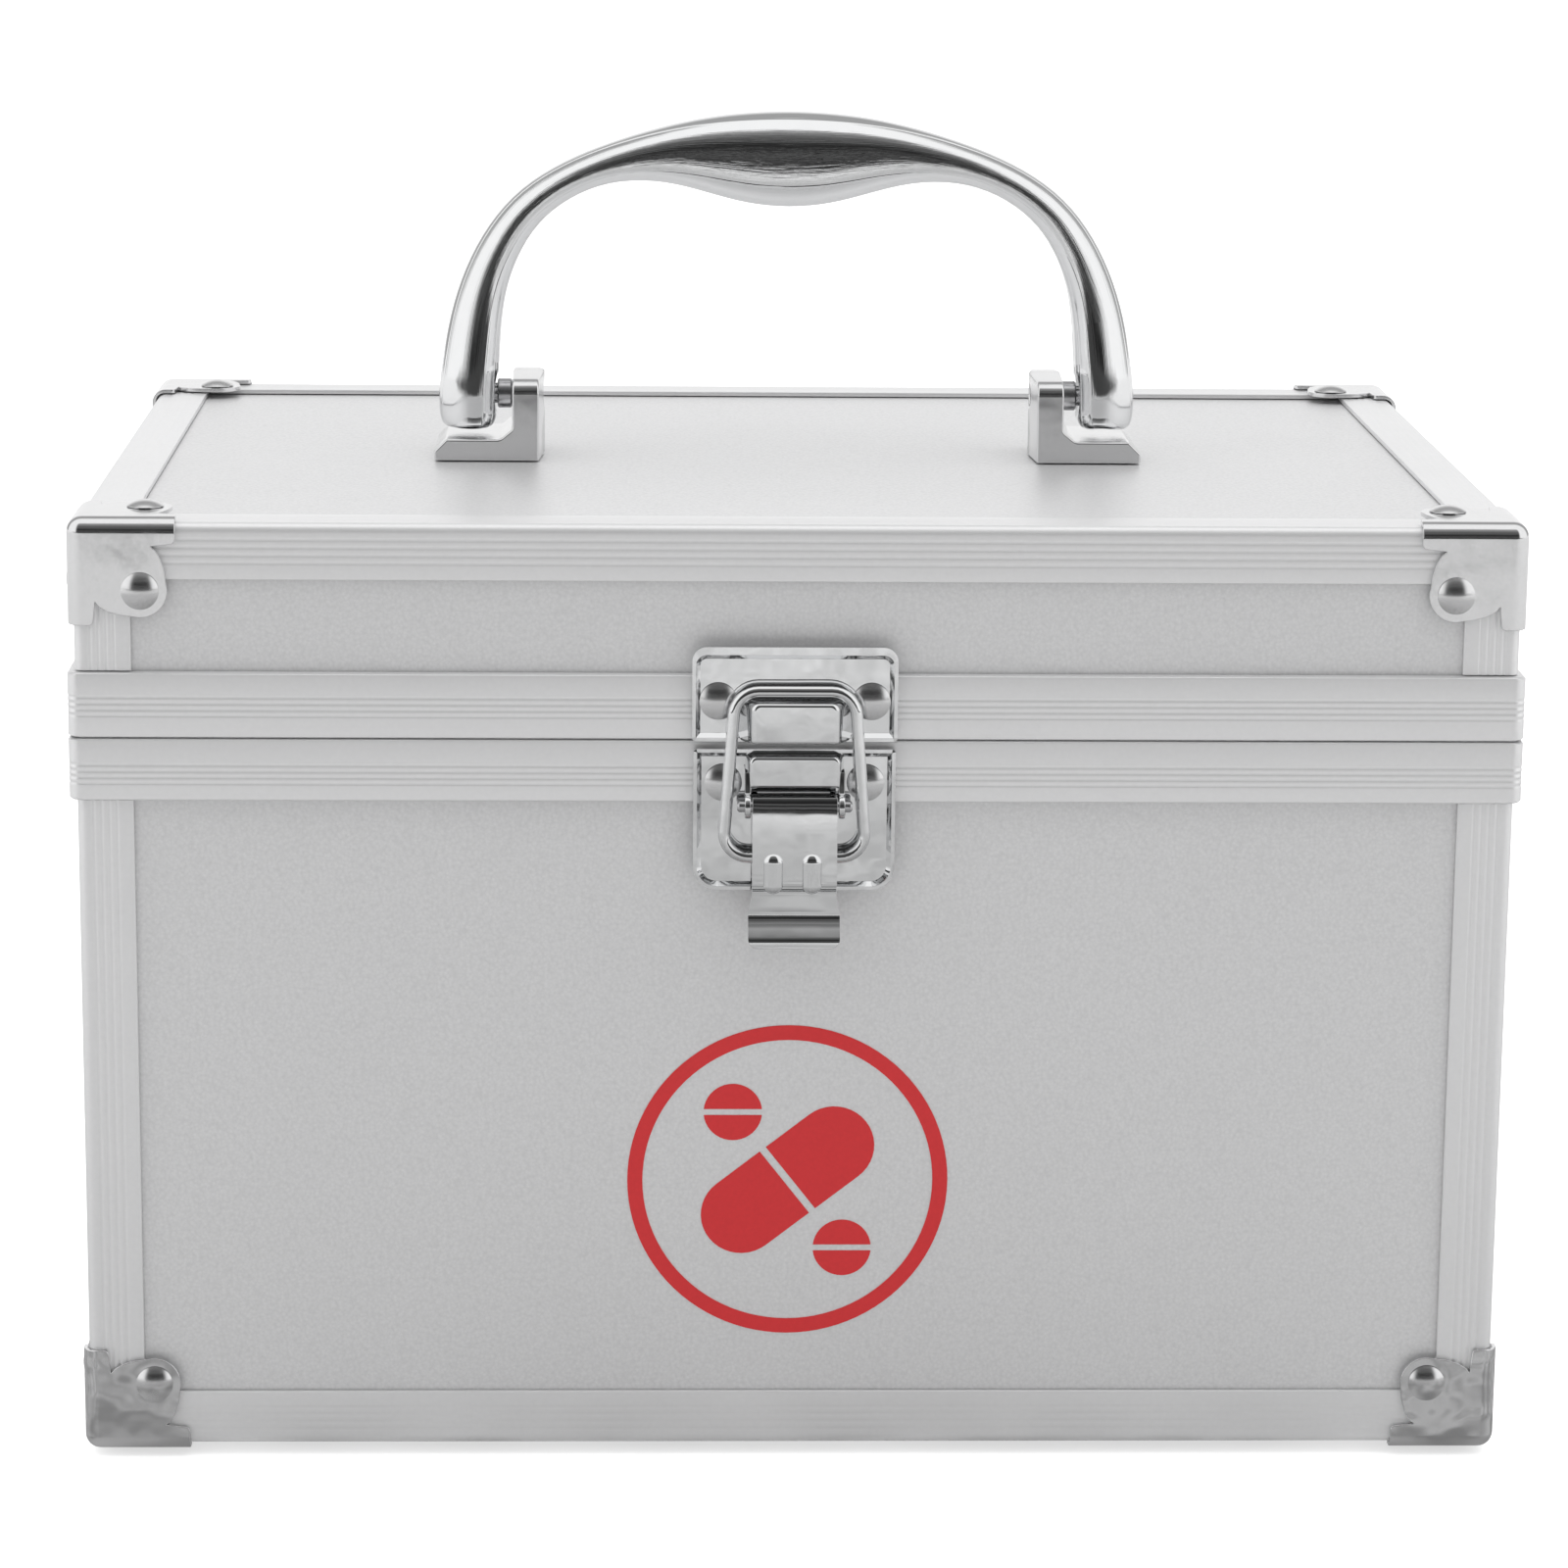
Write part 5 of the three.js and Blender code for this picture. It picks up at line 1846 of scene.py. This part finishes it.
        pick(made, "VERT", lambda vertex: abs(vertex.co.y - middle.y) < reach
             and abs(abs(vertex.co.x) - inner * MM) < reach)
        bpy.ops.transform.translate(value=(-sign * self.draft * MM, 0, 0))
        pick(made, "VERT", lambda vertex: abs(vertex.co.y - middle.y) < reach
             and abs(vertex.co.z - top * MM) < reach)
        bpy.ops.transform.translate(value=(0, 0, self.crown * MM))
        leave_edit()
        radius = self.pin_radius + self.clearance
        profile = [(0, 0), (radius, 0), (radius, self.bore_reach), (0, self.bore_reach)]
        bore = turned("bracket_bore", profile, self.pivot, Axis.X.value * sign, steps=28)
        combine(made, bore, "DIFFERENCE")
        soften(made, self.bracket_edge, segments=3, angle=25)
        dress(made, CAST_NICKEL, Body.LID, [f"handle_bracket_{side}"], smooth=35)

    def build(self) -> None:
        """Builds the handle, the pins and the brackets."""
        self.cast()
        for side, sign in SIDES.items():
            self.build_pin(side, sign)
            self.bracket(side, sign)


# The lining


@dataclass
class Lining:
    """A soft lining pressed into the base or the lid."""

    level: str
    up: int
    thickness: float = 2.0
    corner: float = 3.0
    edge: float = 0.5

    def build(self) -> None:
        """Models the lining as an open tray with rounded inside corners."""
        node = f"{self.level}_lining"
        low, high = node_box(node)
        tray = block(f"{self.level}_felt_tray", low, high)
        body = Body.BASE if self.up > 0 else Body.LID
        edit(tray)
        pick(tray, "FACE", lambda face: face.normal.z * self.up > FACING)
        bpy.ops.mesh.delete(type="FACE")
        pick(tray, "EDGE", lambda edge: not edge.is_boundary)
        bpy.ops.mesh.bevel(offset=self.corner * MM, segments=4, affect="EDGES")
        select_everything()
        bpy.ops.mesh.normals_make_consistent(inside=False)
        leave_edit()
        modify(tray, "SOLIDIFY", thickness=self.thickness * MM, offset=-1, use_even_offset=True)
        soften(tray, self.edge, segments=2, angle=60)
        dress(tray, FELT, body, [node], smooth=50)


# The studio


@dataclass
class Studio:
    """Pale paper floor, soft light and the camera at the photograph's place.

    The floor's levels are pairs of a share of its span and its brightness in mirrors there, a painted
    reflection whose low levels near the case are a painted shadow of the case. Each lamp has its name, its
    place and aim and the side of its square in metres, and its power in watts.
    """

    lens: float = 114.66
    clip: Pair = (0.05, 50.0)
    yaw: float = 1.74
    pitch: float = 12.43
    roll: float = -0.53
    place: Triple = (-33.9, -1120.965, 371.7)
    floor_half: float = 6000.0
    floor_drop: float = 0.1
    floor_span: float = 2.0
    # Painted reflection: the floor's glow in mirrors, low near the case as a painted shadow of it and dark far
    # in front
    floor_levels: tuple[Pair, ...] = (
        (0.06, 0.22), (0.1, 0.38), (0.2, 0.54), (0.36, 0.57), (0.5, 0.8), (0.9, 0.92))
    floor_near: float = -1.42
    floor_far: float = -1.75
    # Painted reflection patches: noise that scales the floor's brightness as seen in mirrors only
    reflection_patch_strength: float = 0.32
    reflection_patch_scale: float = 45.0
    reflection_patch_span: Pair = (0.35, 0.65)
    seen_glow: float = 0.5
    soft_glow: float = 0.14
    soft_level: float = 0.84
    gloss_level: float = 1.1
    card_level: float = 0.42
    card_span: Pair = (0.3, 0.42)
    back_level: float = 1.0
    back_span: Pair = (0.74, 0.9)
    dark_level: float = 0.02
    dark_streaks: float = 0.22
    streak_scale: float = 9.0
    streak_span: Pair = (0.5, 0.8)
    dark_half_width: float = 0.65
    dark_fade: float = 0.35
    dark_low: float = -0.5
    low_fade: float = 0.1
    dark_high: float = 2.0
    high_fade: float = 0.6
    least_ahead: float = 0.01
    dim_rise: float = 0.3
    dim_level: float = 0.3
    lamps: tuple[tuple[str, Triple, Triple, float, float], ...] = (
        ("top_light", (0.0, 0.1, 1.6), (0.0, 0.0, 0.1), 2.4, 17.0),
        ("left_light", (-1.4, -0.5, 0.9), (0.0, 0.0, 0.12), 1.0, 2.0),
        ("right_light", (1.4, -0.4, 0.9), (0.0, 0.0, 0.12), 1.0, 2.0))

    def camera(self) -> None:
        """Sets the camera."""
        yaw, pitch, roll = (math.radians(angle) for angle in (self.yaw, self.pitch, self.roll))
        forward = Vector((math.sin(yaw) * math.cos(pitch), math.cos(yaw) * math.cos(pitch), -math.sin(pitch)))
        right = Vector((math.cos(yaw), -math.sin(yaw), 0))
        down = forward.cross(right)
        turned_right = right * math.cos(roll) + down * math.sin(roll)
        turned_down = down * math.cos(roll) - right * math.sin(roll)
        data = bpy.data.cameras.new("camera")
        data.lens = self.lens
        camera = bpy.data.objects.new("camera", data)
        bpy.context.collection.objects.link(camera)
        rows = Matrix((turned_right, -turned_down, -forward)).transposed().to_4x4()
        camera.matrix_world = Matrix.Translation(Vector(self.place) * MM) @ rows
        data.clip_start, data.clip_end = self.clip
        bpy.context.scene.camera = camera

    def floor(self) -> None:
        """Lays the paper floor."""
        clear_selection()
        bpy.ops.mesh.primitive_plane_add(size=2 * self.floor_half * MM,
                                         location=(0, 0, -self.floor_drop * MM))
        floor = named("paper_floor")
        floor.data.materials.append(self.paper())

    def paper(self) -> bpy.types.Material:
        """Makes the floor's paper: white to the eye, and in mirrors a painted reflection: grey near the case
        as a painted shadow of the case, and dark far in front.

        Returns:
            The material.
        """
        made = PAPER_FLOOR.material()
        links = made.node_tree.links
        shader = Shader(made.node_tree)
        surface = made.node_tree.nodes["Principled BSDF"]
        place = shader.node("ShaderNodeTexCoord").outputs["Object"]
        reach = shader.node("ShaderNodeVectorMath", {0: place}, operation="LENGTH").outputs[1]
        parts = shader.node("ShaderNodeSeparateXYZ", {0: place})
        ahead = shader.span(parts.outputs[1], self.floor_near, self.floor_far)
        ramp = shader.node("ShaderNodeValToRGB", {0: shader.span(reach, 0, self.floor_span)})
        stops = ramp.color_ramp.elements
        while len(stops) < len(self.floor_levels):
            stops.new(0.5)
        for stop, (position, level) in zip(stops, self.floor_levels):
            stop.position, stop.color = position, (level, level, level, 1)
        # In mirrors the paper is black and glows with the painted reflection: painted shadow near the case,
        # dark far in front
        path = shader.node("ShaderNodeLightPath")
        colour = surface.inputs["Base Color"].links[0].from_socket
        mirrored = path.outputs["Is Glossy Ray"]
        links.new(shader.blend(mirrored, colour, (0, 0, 0, 1)), surface.inputs["Base Color"])
        levels = (self.soft_glow, self.seen_glow, self.dark_level)
        soft, glow, dark = ((level, level, level, 1) for level in levels)
        seen = shader.blend(path.outputs["Is Camera Ray"], soft, glow)
        # Painted reflection patches: noise scales the mirrored levels, which only glossy rays see
        noise = shader.noise(place, self.reflection_patch_scale, 1.0)
        reflection_patches = shader.span(noise, *self.reflection_patch_span, 1 - self.reflection_patch_strength, 1 + self.reflection_patch_strength)
        patchy_reflection = shader.node("ShaderNodeVectorMath", {0: ramp.outputs[0], 3: reflection_patches}, operation="SCALE")
        level = shader.blend(ahead, patchy_reflection.outputs[0], dark)
        links.new(shader.blend(mirrored, seen, level), surface.inputs["Emission Color"])
        surface.inputs["Emission Strength"].default_value = 1.0
        return made

    def lamp(self, name: str, place: Triple, aim: Triple, size: float, power: float) -> None:
        """Adds a soft area light.

        Args:
            name: The light's name.
            place: Where it hangs, in metres.
            aim: What it points at, in metres.
            size: Its side, in metres.
            power: Its power in watts.
        """
        data = bpy.data.lights.new(name, "AREA")
        data.shape, data.size, data.energy = "SQUARE", size, power
        light = bpy.data.objects.new(name, data)
        bpy.context.collection.objects.link(light)
        light.location = place
        light.visible_glossy = False
        light.rotation_mode = "QUATERNION"
        light.rotation_quaternion = (Vector(aim) - Vector(place)).to_track_quat("-Z", "Y")

    def surroundings(self) -> None:
        """Paints the surroundings: soft white, and for mirrors a dark room in front and a grey card above."""
        world = bpy.data.worlds.new("studio")
        world.use_nodes = True
        bpy.context.scene.world = world
        shader = Shader(world.node_tree)
        way = shader.node("ShaderNodeTexCoord").outputs["Generated"]
        parts = shader.node("ShaderNodeSeparateXYZ", {0: way})
        ahead = shader.math("MAXIMUM", shader.times(parts.outputs[1], -1.0), self.least_ahead)
        across = shader.math("DIVIDE", parts.outputs[0], ahead)
        rise = shader.math("DIVIDE", parts.outputs[2], ahead)
        half = self.dark_half_width
        inside = shader.span(shader.math("ABSOLUTE", across), half + self.dark_fade, half)
        above = shader.span(rise, self.dark_low - self.low_fade, self.dark_low)
        below = shader.span(rise, self.dark_high + self.high_fade, self.dark_high)
        dark = shader.times(inside, shader.times(above, below))
        inputs = {"W": parts.outputs[2], "Scale": self.streak_scale, "Detail": 2.0}
        noise = shader.node("ShaderNodeTexNoise", inputs, noise_dimensions="1D")
        streaks = shader.span(noise.outputs[0], *self.streak_span, 0, self.dark_streaks)
        dim = shader.span(rise, self.dim_rise, self.dark_high, 0, self.dim_level)
        room = shader.plus(shader.plus(self.dark_level, dim), streaks)
        front_edge = shader.span(parts.outputs[1], *self.card_span, self.gloss_level, self.card_level)
        back_edge = shader.span(parts.outputs[1], *self.back_span, 0, self.back_level - self.card_level)
        seen = shader.mix(dark, shader.plus(front_edge, back_edge), room)
        path = shader.node("ShaderNodeLightPath")
        level = shader.mix(path.outputs["Is Glossy Ray"], self.soft_level, seen)
        strength = shader.mix(path.outputs["Is Camera Ray"], level, 1.0)
        background = world.node_tree.nodes["Background"]
        background.inputs[0].default_value = (1, 1, 1, 1)
        world.node_tree.links.new(strength, background.inputs[1])

    def build(self) -> None:
        """Builds the whole studio."""
        self.camera()
        self.floor()
        self.surroundings()
        for lamp in self.lamps:
            self.lamp(*lamp)
        bpy.context.scene.view_settings.view_transform = "Standard"


def main() -> None:
    """Builds every sub-assembly in order."""
    logging.basicConfig(level=logging.INFO, format="%(name)s %(message)s")
    Studio().build()
    Boards().build()
    AngleFrame().build()
    Rim("lid", 1, height=13.7, first_flute=4.8, key_rise=3.0, key_width=2.2, flange_rise=4.5).build()
    Rim("base", -1, height=13.2, first_flute=5.6, key_rise=-2.0, key_width=1.0, flange_rise=1.7).build()
    CornerCaps().build()
    PillSign().build()
    DrawLatch().build()
    for side in SIDES:
        RearHinge(side).build()
    CarryHandle().build()
    Lining("base", 1).build()
    Lining("lid", -1).build()


if __name__ == "__main__":
    main()
